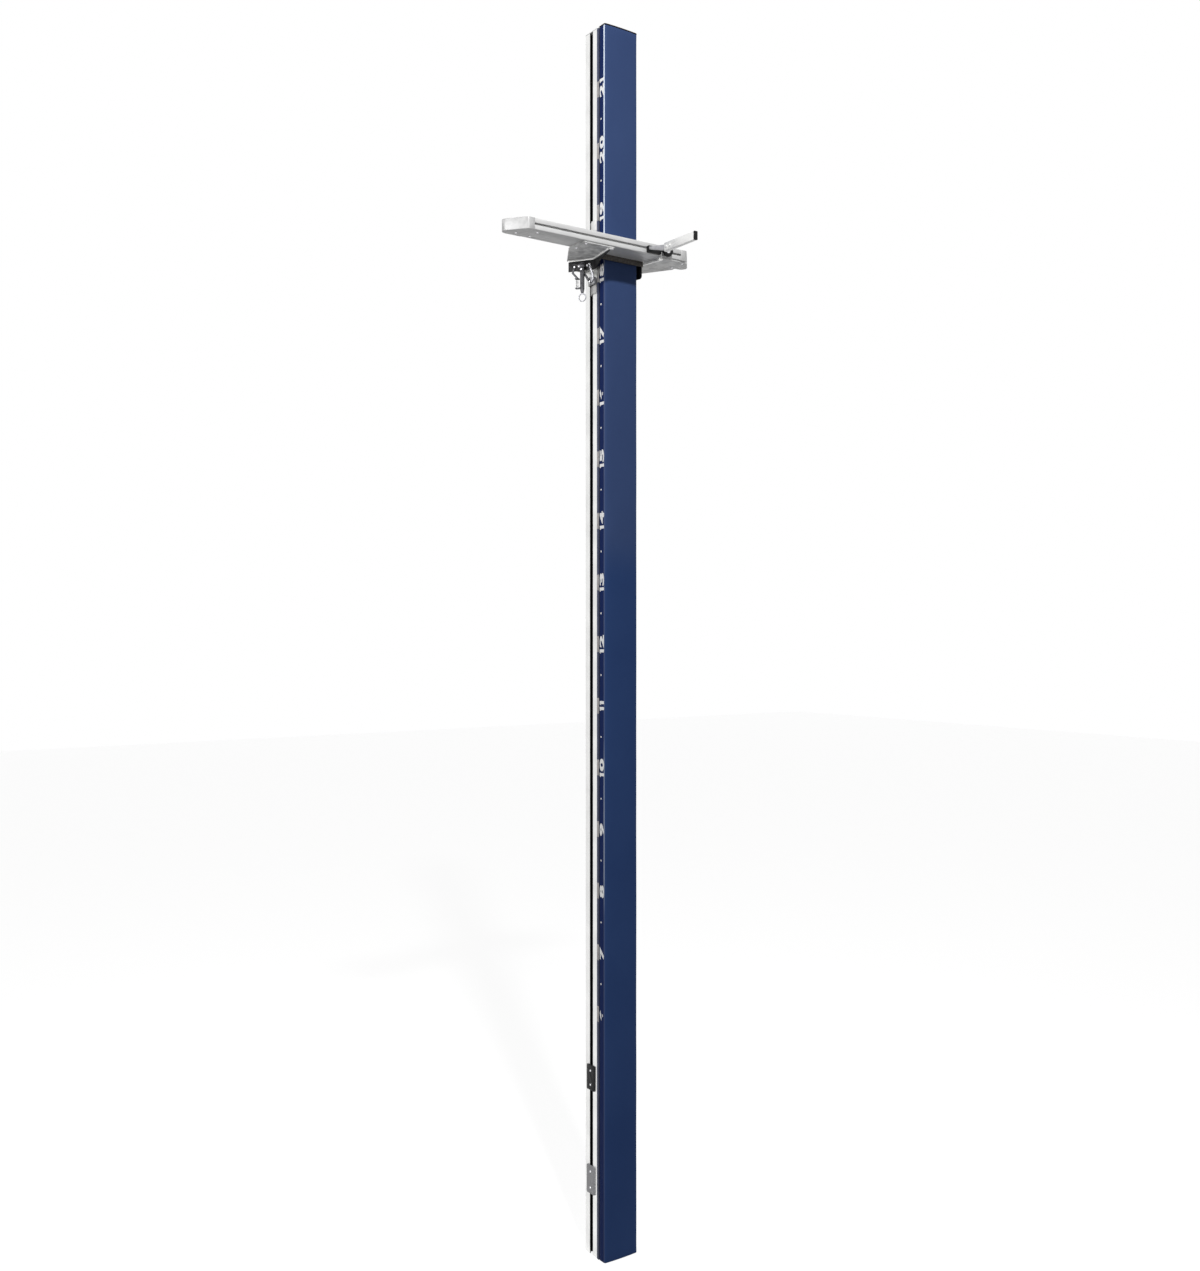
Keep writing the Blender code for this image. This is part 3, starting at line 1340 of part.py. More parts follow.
def build_peg():
    low = ARM_MIDDLE - BLOCK_BELOW
    block_back = ARM_FRONT - SEAT_GAP
    block_front = block_back - BLOCK_THICKNESS
    block_right = BLOCK_LEFT + BLOCK_LENGTH
    block = plate(
        [rectangle(BLOCK_LEFT, low, block_right, ARM_MIDDLE + BLOCK_ABOVE, BLOCK_CORNER)],
        BLOCK_THICKNESS,
        front_at(block_back),
    )
    axis_z = ARM_MIDDLE - PEG_DROP
    root_z = ARM_MIDDLE - PEG_ROOT_DROP
    root_half = PEG_PLATE_ROOT / 2
    pocket_end = block_front + BLOCK_POCKET
    pocket_outline = rectangle(
        PEG_PLACE - PEG_PLATE_THICKNESS / 2 - SEAT_GAP,
        root_z - root_half - SEAT_GAP,
        PEG_PLACE + PEG_PLATE_THICKNESS / 2 + SEAT_GAP,
        root_z + root_half + SEAT_GAP,
    )
    pocket = plate([pocket_outline], 2 * BLOCK_POCKET, front_at(pocket_end))
    block_screw_x = (BLOCK_LEFT + BLOCK_SCREW_LEFT, block_right - BLOCK_SCREW_RIGHT)
    frames = [frame_of((x, block_front, ARM_MIDDLE), (1, 0, 0), (0, 0, 1)) for x in block_screw_x]
    finish(screw_holes(cut(block, pocket), frames, BLIND_HOLE_REACH), "slide_block", "black_plastic")

    mouth = ARM_SLOT_OPENING / 2 - SEAT_GAP
    chamber = ARM_CHAMBER_WIDTH / 2 - SEAT_GAP
    neck_back = ARM_SLOT_LIP + SEAT_GAP
    floor = ARM_SLOT_LIP + ARM_CHAMBER_DEPTH - SEAT_GAP
    nut_loop = [
        arm_point(0, -mouth),
        arm_point(neck_back, -mouth),
        arm_point(neck_back, -chamber),
        arm_point(floor, -chamber),
        arm_point(floor, chamber),
        arm_point(neck_back, chamber),
        arm_point(neck_back, mouth),
        arm_point(0, mouth),
    ]
    nut_right = KNOB_PLACE + NUT_END
    nut = plate([nut_loop], nut_right - BLOCK_LEFT, section_at(BLOCK_LEFT))
    stud_frame = frame_of((KNOB_PLACE, ARM_FRONT, ARM_MIDDLE), (1, 0, 0), (0, 0, 1))
    nut = drilled(nut, [stud_frame], STUD_RADIUS + HOLE_CLEARANCE, BLIND_HOLE_REACH)
    shank = BLOCK_THICKNESS + ARM_SLOT_LIP + ARM_CHAMBER_DEPTH / 2
    finish(join(nut, *[screw_body(frame, shank) for frame in frames]), "slide_nut", "steel")

    heel = block_front - PEG_PLATE_LENGTH + BLOCK_THICKNESS
    inside = TUBE_HEIGHT / 2 - TUBE_WALL - SEAT_GAP
    plate_loop = [
        (pocket_end - SEAT_GAP, root_z - root_half),
        (pocket_end - SEAT_GAP, root_z + root_half),
        (block_front, root_z + root_half),
        (heel, axis_z + PEG_PLATE_HEEL / 2),
        (heel - PEG_SHOULDER, axis_z + inside),
        (heel - PEG_INSERT, axis_z + inside),
        (heel - PEG_INSERT, axis_z - inside),
        (heel - PEG_SHOULDER, axis_z - inside),
        (heel, axis_z - PEG_PLATE_HEEL / 2),
        (block_front, root_z - root_half),
    ]
    tongue = plate([plate_loop], PEG_PLATE_THICKNESS, section_at(PEG_PLACE - PEG_PLATE_THICKNESS / 2))
    side_face = PEG_PLACE - TUBE_WIDTH / 2
    rivets = [
        frame_of((side_face, heel - reach, axis_z), (0, -1, 0), (0, 0, 1))
        for reach in (PEG_RIVET_FIRST, PEG_RIVET_FIRST + PEG_RIVET_SPACING)
    ]
    finish(screw_holes(tongue, rivets, BLIND_HOLE_REACH), "peg_plate", "cast_aluminium")

    tube_end = heel - TUBE_LENGTH
    outer = rectangle(
        PEG_PLACE - TUBE_WIDTH / 2,
        axis_z - TUBE_HEIGHT / 2,
        PEG_PLACE + TUBE_WIDTH / 2,
        axis_z + TUBE_HEIGHT / 2,
        TUBE_CORNER,
    )
    bore = rectangle(
        PEG_PLACE - TUBE_WIDTH / 2 + TUBE_WALL,
        axis_z - TUBE_HEIGHT / 2 + TUBE_WALL,
        PEG_PLACE + TUBE_WIDTH / 2 - TUBE_WALL,
        axis_z + TUBE_HEIGHT / 2 - TUBE_WALL,
    )
    tube = plate([outer, bore], TUBE_LENGTH, front_at(heel))
    finish(screw_holes(tube, rivets, 6 * TUBE_WALL), "peg_tube", "aluminium")

    tip_back = tube_end - SEAT_GAP
    head = plate([outer], TIP_LENGTH, front_at(tip_back))
    bevel = head.modifiers.new("edges", "BEVEL")
    bevel.width = TIP_EDGE
    bevel.segments = 2
    bevel.limit_method = "ANGLE"
    head = as_mesh(head)
    plug_outline = rectangle(
        PEG_PLACE - TUBE_WIDTH / 2 + TUBE_WALL + SEAT_GAP,
        axis_z - inside,
        PEG_PLACE + TUBE_WIDTH / 2 - TUBE_WALL - SEAT_GAP,
        axis_z + inside,
    )
    plug = plate([plug_outline], TIP_PLUG + TIP_LENGTH / 2, front_at(tip_back + TIP_PLUG))
    finish(join(head, plug), "peg_tip", "black_plastic")
    build_knob(stud_frame)


def build_knob(seat):
    """The clamp: a washer on the arm's face, a metal hub, a fluted plastic grip and the stud in the nut."""
    washer = [
        (STUD_RADIUS + HOLE_CLEARANCE, SEAT_GAP),
        (WASHER_RADIUS, SEAT_GAP),
        (WASHER_RADIUS, SEAT_GAP + WASHER_THICKNESS),
        (STUD_RADIUS + HOLE_CLEARANCE, SEAT_GAP + WASHER_THICKNESS),
        (STUD_RADIUS + HOLE_CLEARANCE, SEAT_GAP),
    ]
    finish(turned(washer, seat, 24), "knob_washer", "steel")
    hub_low = WASHER_THICKNESS + 2 * SEAT_GAP
    hub_top = hub_low + HUB_LENGTH
    stud_end = -ARM_SLOT_LIP - ARM_CHAMBER_DEPTH / 2
    stud = [
        (0, stud_end),
        (STUD_RADIUS, stud_end),
        (STUD_RADIUS, hub_low),
        (HUB_RADIUS, hub_low),
        (HUB_RADIUS, hub_top),
        (HUB_RADIUS - HUB_DOME_EDGE, hub_top + HUB_DOME),
        (0, hub_top + HUB_DOME),
    ]
    finish(turned(stud, seat, 20), "knob_stud", "steel")
    bore = HUB_RADIUS + SEAT_GAP
    high = hub_top + KNOB_PROUD
    low = high - KNOB_THICKNESS
    grip = [
        (bore, low),
        (KNOB_RADIUS - KNOB_EDGE, low),
        (KNOB_RADIUS, low + KNOB_EDGE),
        (KNOB_RADIUS, high - KNOB_FRONT_EDGE),
        (KNOB_RADIUS - KNOB_FRONT_EDGE, high),
        (HUB_RADIUS + KNOB_PROUD, high),
        (bore, hub_top),
        (bore, low),
    ]
    knob = turned(grip, seat, 40)
    flutes = []
    for index in range(KNOB_FLUTES):
        angle = 2 * math.pi * index / KNOB_FLUTES
        reach = KNOB_RADIUS + FLUTE_OUTSET
        place = Matrix.Translation((reach * math.cos(angle), reach * math.sin(angle), low - KNOB_EDGE))
        flutes.append(turned(rod_profile(FLUTE_RADIUS, KNOB_THICKNESS + 2 * KNOB_EDGE), seat @ place, 12))
    finish(cut(knob, *flutes), "clamp_knob", "black_plastic")


# Joints

def hang_on_joints():
    """Parents the moving pieces to an empty on each joint's axis."""
    middle = Vector((0, 0, ARM_MIDDLE))
    rod = wall_at(layer(2)) @ Vector((ROD_PLACE, ROD_TOP, 0))
    link = wall_at(layer(1)) @ Vector((*LINK_TOP, 0))
    pivot = wall_at(layer(0)) @ Vector((*HANGER_PIVOT, 0))
    peg = Vector((PEG_PLACE, ARM_FRONT, ARM_MIDDLE))
    knob = Vector((KNOB_PLACE, ARM_FRONT, ARM_MIDDLE))
    moving = {
        "carriage_joint": (middle, None, CARRIAGE_PIECES),
        "rod_joint": (rod, "carriage_joint", ("pull_rod", "pull_ring", "link_pin")),
        "link_joint": (link, "rod_joint", ("brake_link",)),
        "hanger_joint": (pivot, "carriage_joint", ("brake_hanger", "shoe_pin", "brake_shoe", "brake_pad")),
        "peg_joint": (peg, "carriage_joint", PEG_PIECES),
        "knob_joint": (knob, "peg_joint", ("knob_stud", "clamp_knob")),
    }
    empties = {}
    for name, (place, parent, pieces) in moving.items():
        empty = bpy.data.objects.new(name, None)
        PARTS.objects.link(empty)
        empty.empty_display_size = HALF_WIDTH
        empties[name] = empty
        origin = Matrix.Translation(place)
        if parent:
            empty.parent = empties[parent]
            origin = Matrix.Translation(moving[parent][0]).inverted() @ origin
        empty.matrix_local = origin
        for piece in pieces:
            obj = PARTS.objects[piece]
            obj.parent = empty
            obj.matrix_parent_inverse = Matrix.Translation(place).inverted()


build_upright()
build_pad()
build_slot_plates()
build_slides()
build_wings()
build_side_plates()
build_front_strap()
build_guide()
build_anchor()
build_spring()
build_rod()
build_link()
build_hanger()
build_arm()
build_peg()
hang_on_joints()
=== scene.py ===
# %% [markdown]
# # A pole vault standard, dressed over its CAD frame
# A pole vault standard is a tall aluminium upright with a T-slot down each narrow side. A carriage runs in
# the slots and carries the cross arm, and the peg on the arm holds the crossbar. A long foam pad covers the
# side that the vaulter lands towards. The CAD model already holds every rigid piece in its right place, so
# this lesson leaves those where they are. It gives them real finishes and makes the soft pad, the height
# scale and the small screws that a CAD model leaves out.

# %% Load the frame
import math

import bmesh
import bpy
from mathutils import Matrix, Vector, noise
from mathutils.bvhtree import BVHTree


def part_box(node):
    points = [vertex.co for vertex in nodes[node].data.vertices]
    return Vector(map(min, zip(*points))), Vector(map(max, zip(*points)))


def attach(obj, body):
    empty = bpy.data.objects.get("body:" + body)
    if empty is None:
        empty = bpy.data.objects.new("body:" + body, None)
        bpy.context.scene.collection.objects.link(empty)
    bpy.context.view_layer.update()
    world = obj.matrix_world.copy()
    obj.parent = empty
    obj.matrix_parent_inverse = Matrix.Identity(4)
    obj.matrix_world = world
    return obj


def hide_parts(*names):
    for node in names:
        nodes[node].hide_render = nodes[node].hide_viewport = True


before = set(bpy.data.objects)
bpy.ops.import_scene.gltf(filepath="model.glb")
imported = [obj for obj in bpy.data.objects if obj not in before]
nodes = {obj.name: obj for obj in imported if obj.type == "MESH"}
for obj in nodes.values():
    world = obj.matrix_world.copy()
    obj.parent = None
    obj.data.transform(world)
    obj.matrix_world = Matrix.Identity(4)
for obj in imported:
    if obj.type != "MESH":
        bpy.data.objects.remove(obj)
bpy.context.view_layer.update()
scene = bpy.context.scene
scene.view_settings.view_transform = "Standard"

# %% [markdown]
# ## The camera
# The upright's side walls converge neither up nor down in the photograph, so the camera looks level, from
# about half the upright's height. A lens wide enough to take in six metres from six metres away gives the
# strong slope of the cross arm. Level and shifted by a few of the photograph's pixels is better than tilted,
# because a tilt would make the upright lean.

# %% Place the camera
PHOTO_WIDTH = 1200
PHOTO_SHIFT = -5.5
CAMERA_PLACE = (-3.6357, -5.1619, 3.113)
CAMERA_TURN = math.radians(-34.8)
LENS_LENGTH = 37.65
SENSOR_WIDTH = 36.0
camera_data = bpy.data.cameras.new("photo_camera")
camera_data.sensor_fit = "HORIZONTAL"
camera_data.sensor_width = SENSOR_WIDTH
camera_data.lens = LENS_LENGTH
camera_data.shift_y = PHOTO_SHIFT / PHOTO_WIDTH
camera = bpy.data.objects.new("photo_camera", camera_data)
camera.location = CAMERA_PLACE
camera.rotation_euler = (math.radians(90), 0, CAMERA_TURN)
scene.collection.objects.link(camera)
scene.camera = camera
print("camera at", [round(value, 2) for value in camera.location])

# %% [markdown]
# ## The studio
# The photograph has a white ground with no horizon. A white world seen only by camera, gloss and
# transmission rays gives that background without adding light to the object, and a dimmer world does the
# lighting. The floor is a real surface, so it keeps the object's shadow, and it gets a little glow for the
# camera so that it meets the background with no line. One lamp high in front makes the shadow under the
# carriage and the brighter upper half of the pad, and a large soft one on the left lifts the narrow sides
# with the figures.

# %% Light the studio
WORLD_LIGHT = 0.26
FLOOR_SIZE = 60.0
FLOOR_TONE = 0.40
FLOOR_GLOW = 0.80


def object_of(shape, name):
    """An object in the scene whose mesh is the bmesh, which is freed."""
    mesh = bpy.data.meshes.new(name)
    shape.to_mesh(mesh)
    shape.free()
    made = bpy.data.objects.new(name, mesh)
    scene.collection.objects.link(made)
    return made


def maths(tree, operation, first, second=None):
    """The output of a Math node, each of whose inputs is a socket or a number."""
    node = tree.nodes.new("ShaderNodeMath")
    node.operation = operation
    for socket, value in zip(node.inputs, (first, second)):
        if isinstance(value, bpy.types.NodeSocket):
            tree.links.new(value, socket)
        elif value is not None:
            socket.default_value = value
    return node.outputs[0]


def seen_by_lens(tree, kinds):
    """1 for rays of the given kinds, such as camera rays, and 0 for the others."""
    path = tree.nodes.new("ShaderNodeLightPath")
    total = path.outputs[kinds[0]]
    for kind in kinds[1:]:
        total = maths(tree, "MAXIMUM", total, path.outputs[kind])
    return total


def white_world():
    world = bpy.data.worlds.new("studio_white")
    world.use_nodes = True
    tree = world.node_tree
    light = tree.nodes["Background"]
    light.inputs["Color"].default_value = (1.0, 1.0, 1.0, 1.0)
    light.inputs["Strength"].default_value = WORLD_LIGHT
    white = tree.nodes.new("ShaderNodeBackground")
    white.inputs["Color"].default_value = (1.0, 1.0, 1.0, 1.0)
    white.inputs["Strength"].default_value = 1.0
    mix = tree.nodes.new("ShaderNodeMixShader")
    shown = seen_by_lens(tree, ["Is Camera Ray", "Is Glossy Ray", "Is Transmission Ray"])
    tree.links.new(shown, mix.inputs["Fac"])
    tree.links.new(light.outputs[0], mix.inputs[1])
    tree.links.new(white.outputs[0], mix.inputs[2])
    tree.links.new(mix.outputs[0], tree.nodes["World Output"].inputs["Surface"])
    scene.world = world


def pale_floor():
    shape = bmesh.new()
    bmesh.ops.create_grid(shape, x_segments=1, y_segments=1, size=FLOOR_SIZE / 2)
    floor = object_of(shape, "floor")
    paint = bpy.data.materials.new("floor_paper")
    paint.use_nodes = True
    tree = paint.node_tree
    shader = tree.nodes["Principled BSDF"]
    shader.inputs["Base Color"].default_value = (FLOOR_TONE, FLOOR_TONE, FLOOR_TONE, 1.0)
    shader.inputs["Roughness"].default_value = 0.9
    glow = tree.nodes.new("ShaderNodeEmission")
    glow.inputs["Color"].default_value = (1.0, 1.0, 1.0, 1.0)
    both = tree.nodes.new("ShaderNodeAddShader")
    tree.links.new(shader.outputs[0], both.inputs[0])
    tree.links.new(glow.outputs[0], both.inputs[1])
    shown = seen_by_lens(tree, ["Is Camera Ray", "Is Glossy Ray"])
    tree.links.new(maths(tree, "MULTIPLY", shown, FLOOR_GLOW), glow.inputs["Strength"])
    tree.links.new(both.outputs[0], tree.nodes["Material Output"].inputs["Surface"])
    floor.data.materials.append(paint)


def lamp(name, place, target_height, size, power):
    """A round lamp that looks at a height on the upright's axis."""
    data = bpy.data.lights.new(name, "AREA")
    data.shape = "DISK"
    data.size = size
    data.energy = power
    made = bpy.data.objects.new(name, data)
    made.location = place
    direction = Vector((0, 0, target_height)) - Vector(place)
    made.rotation_euler = direction.to_track_quat("-Z", "Y").to_euler()
    scene.collection.objects.link(made)


white_world()
pale_floor()
lamp("key_lamp", (-2.1, -5.0, 9.15), 3.6, size=0.45, power=360)
lamp("side_lamp", (-6.0, -0.6, 5.8), 3.9, size=2.6, power=125)
print("studio: white world, pale floor, two lamps")

# %% [markdown]
# ## Tools for finishes
# Every finish below is a Principled shader whose plain values sit on its own sockets, and whose detail comes
# from noise on Object coordinates. The frame's nodes all sit at the origin, so Object coordinates are metres
# on the real thing: a scale of 900 means about 900 specks to the metre. A photograph wrapped on the surface
# would blur at this length, while noise stays sharp from any distance.

# %% Tools for finishes
def new_finish(name, colour, roughness, metallic=0.0, ior=1.5):
    """A material with the values that are the same all over on the shader's own sockets."""
    finish = bpy.data.materials.new(name)
    finish.use_nodes = True
    shader = finish.node_tree.nodes["Principled BSDF"]
    shader.inputs["Base Color"].default_value = (*colour, 1.0)
    shader.inputs["Roughness"].default_value = roughness
    shader.inputs["Metallic"].default_value = metallic
    shader.inputs["IOR"].default_value = ior
    return finish


def on_object(tree, axis=None):
    """The point in Object coordinates, or one of its three coordinates."""
    place = tree.nodes.new("ShaderNodeTexCoord").outputs["Object"]
    if axis is None:
        return place
    parts = tree.nodes.new("ShaderNodeSeparateXYZ")
    tree.links.new(place, parts.inputs["Vector"])
    return parts.outputs[axis]


def speckle(finish, scale, stretch=(1, 1, 1), detail=3.0):
    """Noise in Object coordinates; stretch squeezes it along the axes with large numbers."""
    tree = finish.node_tree
    turn = tree.nodes.new("ShaderNodeMapping")
    turn.inputs["Scale"].default_value = stretch
    pattern = tree.nodes.new("ShaderNodeTexNoise")
    pattern.inputs["Scale"].default_value = scale
    pattern.inputs["Detail"].default_value = detail
    tree.links.new(on_object(tree), turn.inputs["Vector"])
    tree.links.new(turn.outputs["Vector"], pattern.inputs["Vector"])
    return pattern.outputs["Fac"]


def pebbles(finish, scale):
    """The distance to the nearest cell centre, for leather grain and cast pits."""
    tree = finish.node_tree
    cells = tree.nodes.new("ShaderNodeTexVoronoi")
    cells.inputs["Scale"].default_value = scale
    tree.links.new(on_object(tree), cells.inputs["Vector"])
    return cells.outputs["Distance"]


def tint(finish, pattern, low_colour, high_colour, low=0.35, high=0.65):
    """Colours the shader from one tone to the other as the pattern goes from low to high."""
    tree = finish.node_tree
    ramp = tree.nodes.new("ShaderNodeValToRGB")
    ramp.color_ramp.elements[0].position = low
    ramp.color_ramp.elements[0].color = (*low_colour, 1.0)
    ramp.color_ramp.elements[1].position = high
    ramp.color_ramp.elements[1].color = (*high_colour, 1.0)
    tree.links.new(pattern, ramp.inputs["Fac"])
    tree.links.new(ramp.outputs["Color"], tree.nodes["Principled BSDF"].inputs["Base Color"])


def mapped(tree, value, from_range, to_range, smooth=False):
    """The value moved from one range to another, and held at the ends."""
    shift = tree.nodes.new("ShaderNodeMapRange")
    if smooth:
        shift.interpolation_type = "SMOOTHSTEP"
    shift.inputs["From Min"].default_value, shift.inputs["From Max"].default_value = from_range
    shift.inputs["To Min"].default_value, shift.inputs["To Max"].default_value = to_range
    tree.links.new(value, shift.inputs["Value"])
    return shift.outputs["Result"]


def polish(finish, pattern, low, high):
    """Varies the roughness between two values."""
    tree = finish.node_tree
    roughness = tree.nodes["Principled BSDF"].inputs["Roughness"]
    tree.links.new(mapped(tree, pattern, (0.3, 0.7), (low, high)), roughness)


def relief(finish, pattern, depth):
    """Adds a bump of the given depth in metres on top of any there already."""
    tree = finish.node_tree
    bump = tree.nodes.new("ShaderNodeBump")
    bump.inputs["Strength"].default_value = 1.0
    bump.inputs["Distance"].default_value = depth
    normal = tree.nodes["Principled BSDF"].inputs["Normal"]
    if normal.is_linked:
        tree.links.new(normal.links[0].from_socket, bump.inputs["Normal"])
    tree.links.new(pattern, bump.inputs["Height"])
    tree.links.new(bump.outputs["Normal"], normal)


def overlay(finish, share, colour, where_one=True):
    """Lays a colour over the base colour where the share is 1, or else where it is 0."""
    tree = finish.node_tree
    mix = tree.nodes.new("ShaderNodeMix")
    mix.data_type = "RGBA"
    below, above = ("A", "B") if where_one else ("B", "A")
    mix.inputs[above].default_value = (*colour, 1.0)
    base = tree.nodes["Principled BSDF"].inputs["Base Color"]
    tree.links.new(base.links[0].from_socket, mix.inputs[below])
    tree.links.new(share, mix.inputs["Factor"])
    tree.links.new(mix.outputs["Result"], base)


def sides(*stems, ending=""):
    """The names of the left and the right node of each stem."""
    return [f"{stem}_{word}{ending}" for stem in stems for word in ("left", "right")]


def give(finish, *names):
    """Puts the finish on CAD nodes."""
    for name in names:
        slots = nodes[name].data.materials
        slots.clear()
        slots.append(finish)


print("finish tools: speckle, pebbles, tint, polish, relief, overlay, give")

# %% [markdown]
# ## Mill-drawn aluminium
# The upright and the arm are extrusions: metal pressed through a die, which leaves hair lines along the
# length, and then anodised to a satin silver. Noise squeezed across the length draws those lines. The same
# recipe serves both, turned to run along Z on the upright and along X on the arm. Little light reaches
# inside the upright's T-slots, so the chamber gets painted shade, a nearly black colour, limited by where a
# point lies in the section.

# %% Aluminium finishes
SLOT_HALF_WIDTH = 0.0262


def drawn_aluminium(name, along, colour, metallic, ior=1.5):
    """Satin metal with hair lines along one axis, which is given by its number."""
    stretch = [1.0, 1.0, 1.0]
    stretch[along] = 0.004
    finish = new_finish(name, colour, 0.34, metallic, ior)
    lines = speckle(finish, 700, stretch, 2.0)
    darker = tuple(value * 0.90 for value in colour)
    tint(finish, speckle(finish, 9, detail=2.0), darker, colour)
    polish(finish, lines, 0.28, 0.42)
    relief(finish, lines, 0.00003)
    return finish


def inside_range(tree, value, limit):
    """1 where the value lies between -limit and limit."""
    return maths(tree, "LESS_THAN", maths(tree, "ABSOLUTE", value), limit)


def darken_slot(finish, half_reach, half_width, slot_shade_colour):
    """Lays painted shade, a dark colour, over the base colour where |x| and |y| are under the two limits."""
    tree = finish.node_tree
    in_x = inside_range(tree, on_object(tree, "X"), half_reach)
    in_y = inside_range(tree, on_object(tree, "Y"), half_width)
    overlay(finish, maths(tree, "MULTIPLY", in_x, in_y), slot_shade_colour)


upright_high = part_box("upright_extrusion")[1]
upright_silver = drawn_aluminium("upright_silver", 2, (0.90, 0.90, 0.89), 0.85)
# Painted shade: the T-slot chamber is coloured nearly black where little light reaches.
darken_slot(upright_silver, upright_high.x - 0.001, SLOT_HALF_WIDTH, (0.012, 0.012, 0.012))
give(upright_silver, "upright_extrusion")
arm_silver = drawn_aluminium("arm_silver", 0, (0.76, 0.76, 0.76), 0.10, 1.24)
give(arm_silver, "cross_arm")
peg_silver = drawn_aluminium("peg_silver", 1, (0.88, 0.88, 0.87), 0.35)
give(peg_silver, "peg_tube")
print("aluminium: upright, arm and peg tube")

# %% [markdown]
# ## Cast aluminium
# The wing brackets, the knuckles and the lowest plates are castings. Molten metal set against sand leaves a
# fine pitted skin and patches of lighter and darker grey, which the photograph shows on the bracket's
# underside. Two noises give the patches and the pits. The brackets' lower rim is made bare metal and painted
# lighter, so it is part polished metal and part a painted highlight.
# The arm's end caps, the brake shoe and the plate that carries the peg tube are cast too, but smoother.

# %% Cast finishes
RIM_HEIGHT = 0.0044


def cast_metal(name, dark, light, roughness, metallic=0.2):
    finish = new_finish(name, light, roughness, metallic)
    patches = speckle(finish, 26, detail=6.0)
    tint(finish, patches, dark, light, 0.36, 0.62)
    polish(finish, patches, roughness - 0.08, roughness + 0.10)
    relief(finish, speckle(finish, 950, detail=2.0), 0.00012)
    relief(finish, pebbles(finish, 420), 0.00008)
    return finish


def polished_below(finish, height, colour):
    """Turns the casting to bare metal under a height and paints it lighter there: a polished rim and a
    painted highlight.
    """
    tree = finish.node_tree
    metallic = tree.nodes["Principled BSDF"].inputs["Metallic"]
    under = maths(tree, "LESS_THAN", on_object(tree, "Z"), height)
    overlay(finish, under, colour)
    tree.links.new(mapped(tree, under, (0.0, 1.0), (metallic.default_value, 1.0)), metallic)


cast_grey = cast_metal("cast_grey", (0.58, 0.58, 0.58), (0.96, 0.96, 0.95), 0.55, 0.15)
# Below this height the rim is bare metal with a painted highlight, a lighter colour along it.
polished_below(cast_grey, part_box("wing_bracket_left")[0].z + RIM_HEIGHT, (0.93, 0.93, 0.92))
give(cast_grey, *sides("wing_bracket", "knuckle"))
plate_grey = cast_metal("plate_grey", (0.27, 0.27, 0.28), (0.36, 0.36, 0.37), 0.55)
give(plate_grey, *sides("base_plate"))
cast_bright = cast_metal("cast_bright", (0.48, 0.48, 0.48), (0.62, 0.62, 0.62), 0.40)
give(cast_bright, *sides("arm_end_cap"))
shoe_grey = cast_metal("shoe_grey", (0.38, 0.38, 0.40), (0.56, 0.56, 0.58), 0.45)
give(shoe_grey, "brake_shoe", "peg_plate")
print("cast metal: brackets, knuckles, plates, end caps and brake shoe")

# %% [markdown]
# ## Steel
# The small steel parts come in four kinds. The screws, the pins, the slide bars and the nuts are bright zinc,
# with the faint cloudiness of a plated surface. The pull rod, its guide, the brake link, the spring and its
# anchor are dark, as a phosphate coat is. The ring and the hanger are plain grey steel, and the strap behind
# the arm is painted a dark brown, as painted shade for the shade under the arm. All are metals, so the
# difference is in the base colour and the roughness.

# %% Steel finishes
def plated_steel(name, dark, light, roughness):
    finish = new_finish(name, light, roughness, 1.0)
    cloud = speckle(finish, 120, detail=4.0)
    tint(finish, cloud, dark, light)
    polish(finish, cloud, roughness - 0.06, roughness + 0.10)
    relief(finish, speckle(finish, 1600, detail=2.0), 0.00002)
    return finish


PLATE_NUTS = sides("stop_plate", "base_plate", ending="_nut")
bright_zinc = plated_steel("bright_zinc", (0.66, 0.66, 0.68), (0.82, 0.82, 0.84), 0.24)
give(
    bright_zinc,
    "hanger_pin", "shoe_pin", "link_pin", "knob_washer", "knob_stud", "slide_nut", "anchor_screw",
    "guide_screw_rear", "guide_screw_front", *sides("slide_bar", "wing_screw"), *PLATE_NUTS,
)
dark_steel = plated_steel("dark_steel", (0.045, 0.045, 0.05), (0.10, 0.10, 0.105), 0.42)
give(dark_steel, "pull_rod", "brake_link", "return_spring", "spring_anchor", "rod_guide")
plain_steel = plated_steel("plain_steel", (0.24, 0.24, 0.26), (0.38, 0.38, 0.40), 0.34)
give(plain_steel, "brake_hanger", "pull_ring")
# The strap's dark brown is painted shade: it stands in for the shade under the arm.
strap_shade_steel = plated_steel("strap_shade_steel", (0.060, 0.055, 0.050), (0.110, 0.102, 0.095), 0.40)
give(strap_shade_steel, "front_strap")
print("steel: bright zinc, dark coat, plain grey and brown")

# %% [markdown]
# ## Black paint and plastics
# The side plates are painted steel: a thick semi-gloss film with a faint orange-peel skin, rubbed back to
# grey along the edges. The Bevel node compares the true normal with a rounded one, so it finds those edges
# wherever they are. The knob, the stop plates, the slide block, the bottom plugs and the tube's tip are
# moulded nylon with a spark-eroded grain. The top cap is a pale nylon, the glides are white acetal, a little
# glossy where they rub, and the brake's lining is a rough dark composition.

# %% Paint and plastics
def edge_rub(finish, rubbed_colour, radius):
    """Lays a colour over the base colour along the edges."""
    tree = finish.node_tree
    rounded = tree.nodes.new("ShaderNodeBevel")
    rounded.inputs["Radius"].default_value = radius
    true = tree.nodes.new("ShaderNodeNewGeometry")
    match = tree.nodes.new("ShaderNodeVectorMath")
    match.operation = "DOT_PRODUCT"
    tree.links.new(rounded.outputs["Normal"], match.inputs[0])
    tree.links.new(true.outputs["Normal"], match.inputs[1])
    overlay(finish, mapped(tree, match.outputs["Value"], (0.80, 0.97), (0.7, 0.0)), rubbed_colour)


black_paint = new_finish("black_paint", (0.012, 0.012, 0.014), 0.40, ior=1.30)
tint(black_paint, speckle(black_paint, 40), (0.008, 0.008, 0.010), (0.020, 0.020, 0.022))
relief(black_paint, speckle(black_paint, 520, detail=1.0), 0.00005)
edge_rub(black_paint, (0.22, 0.22, 0.23), 0.0012)
give(black_paint, *sides("side_plate"))


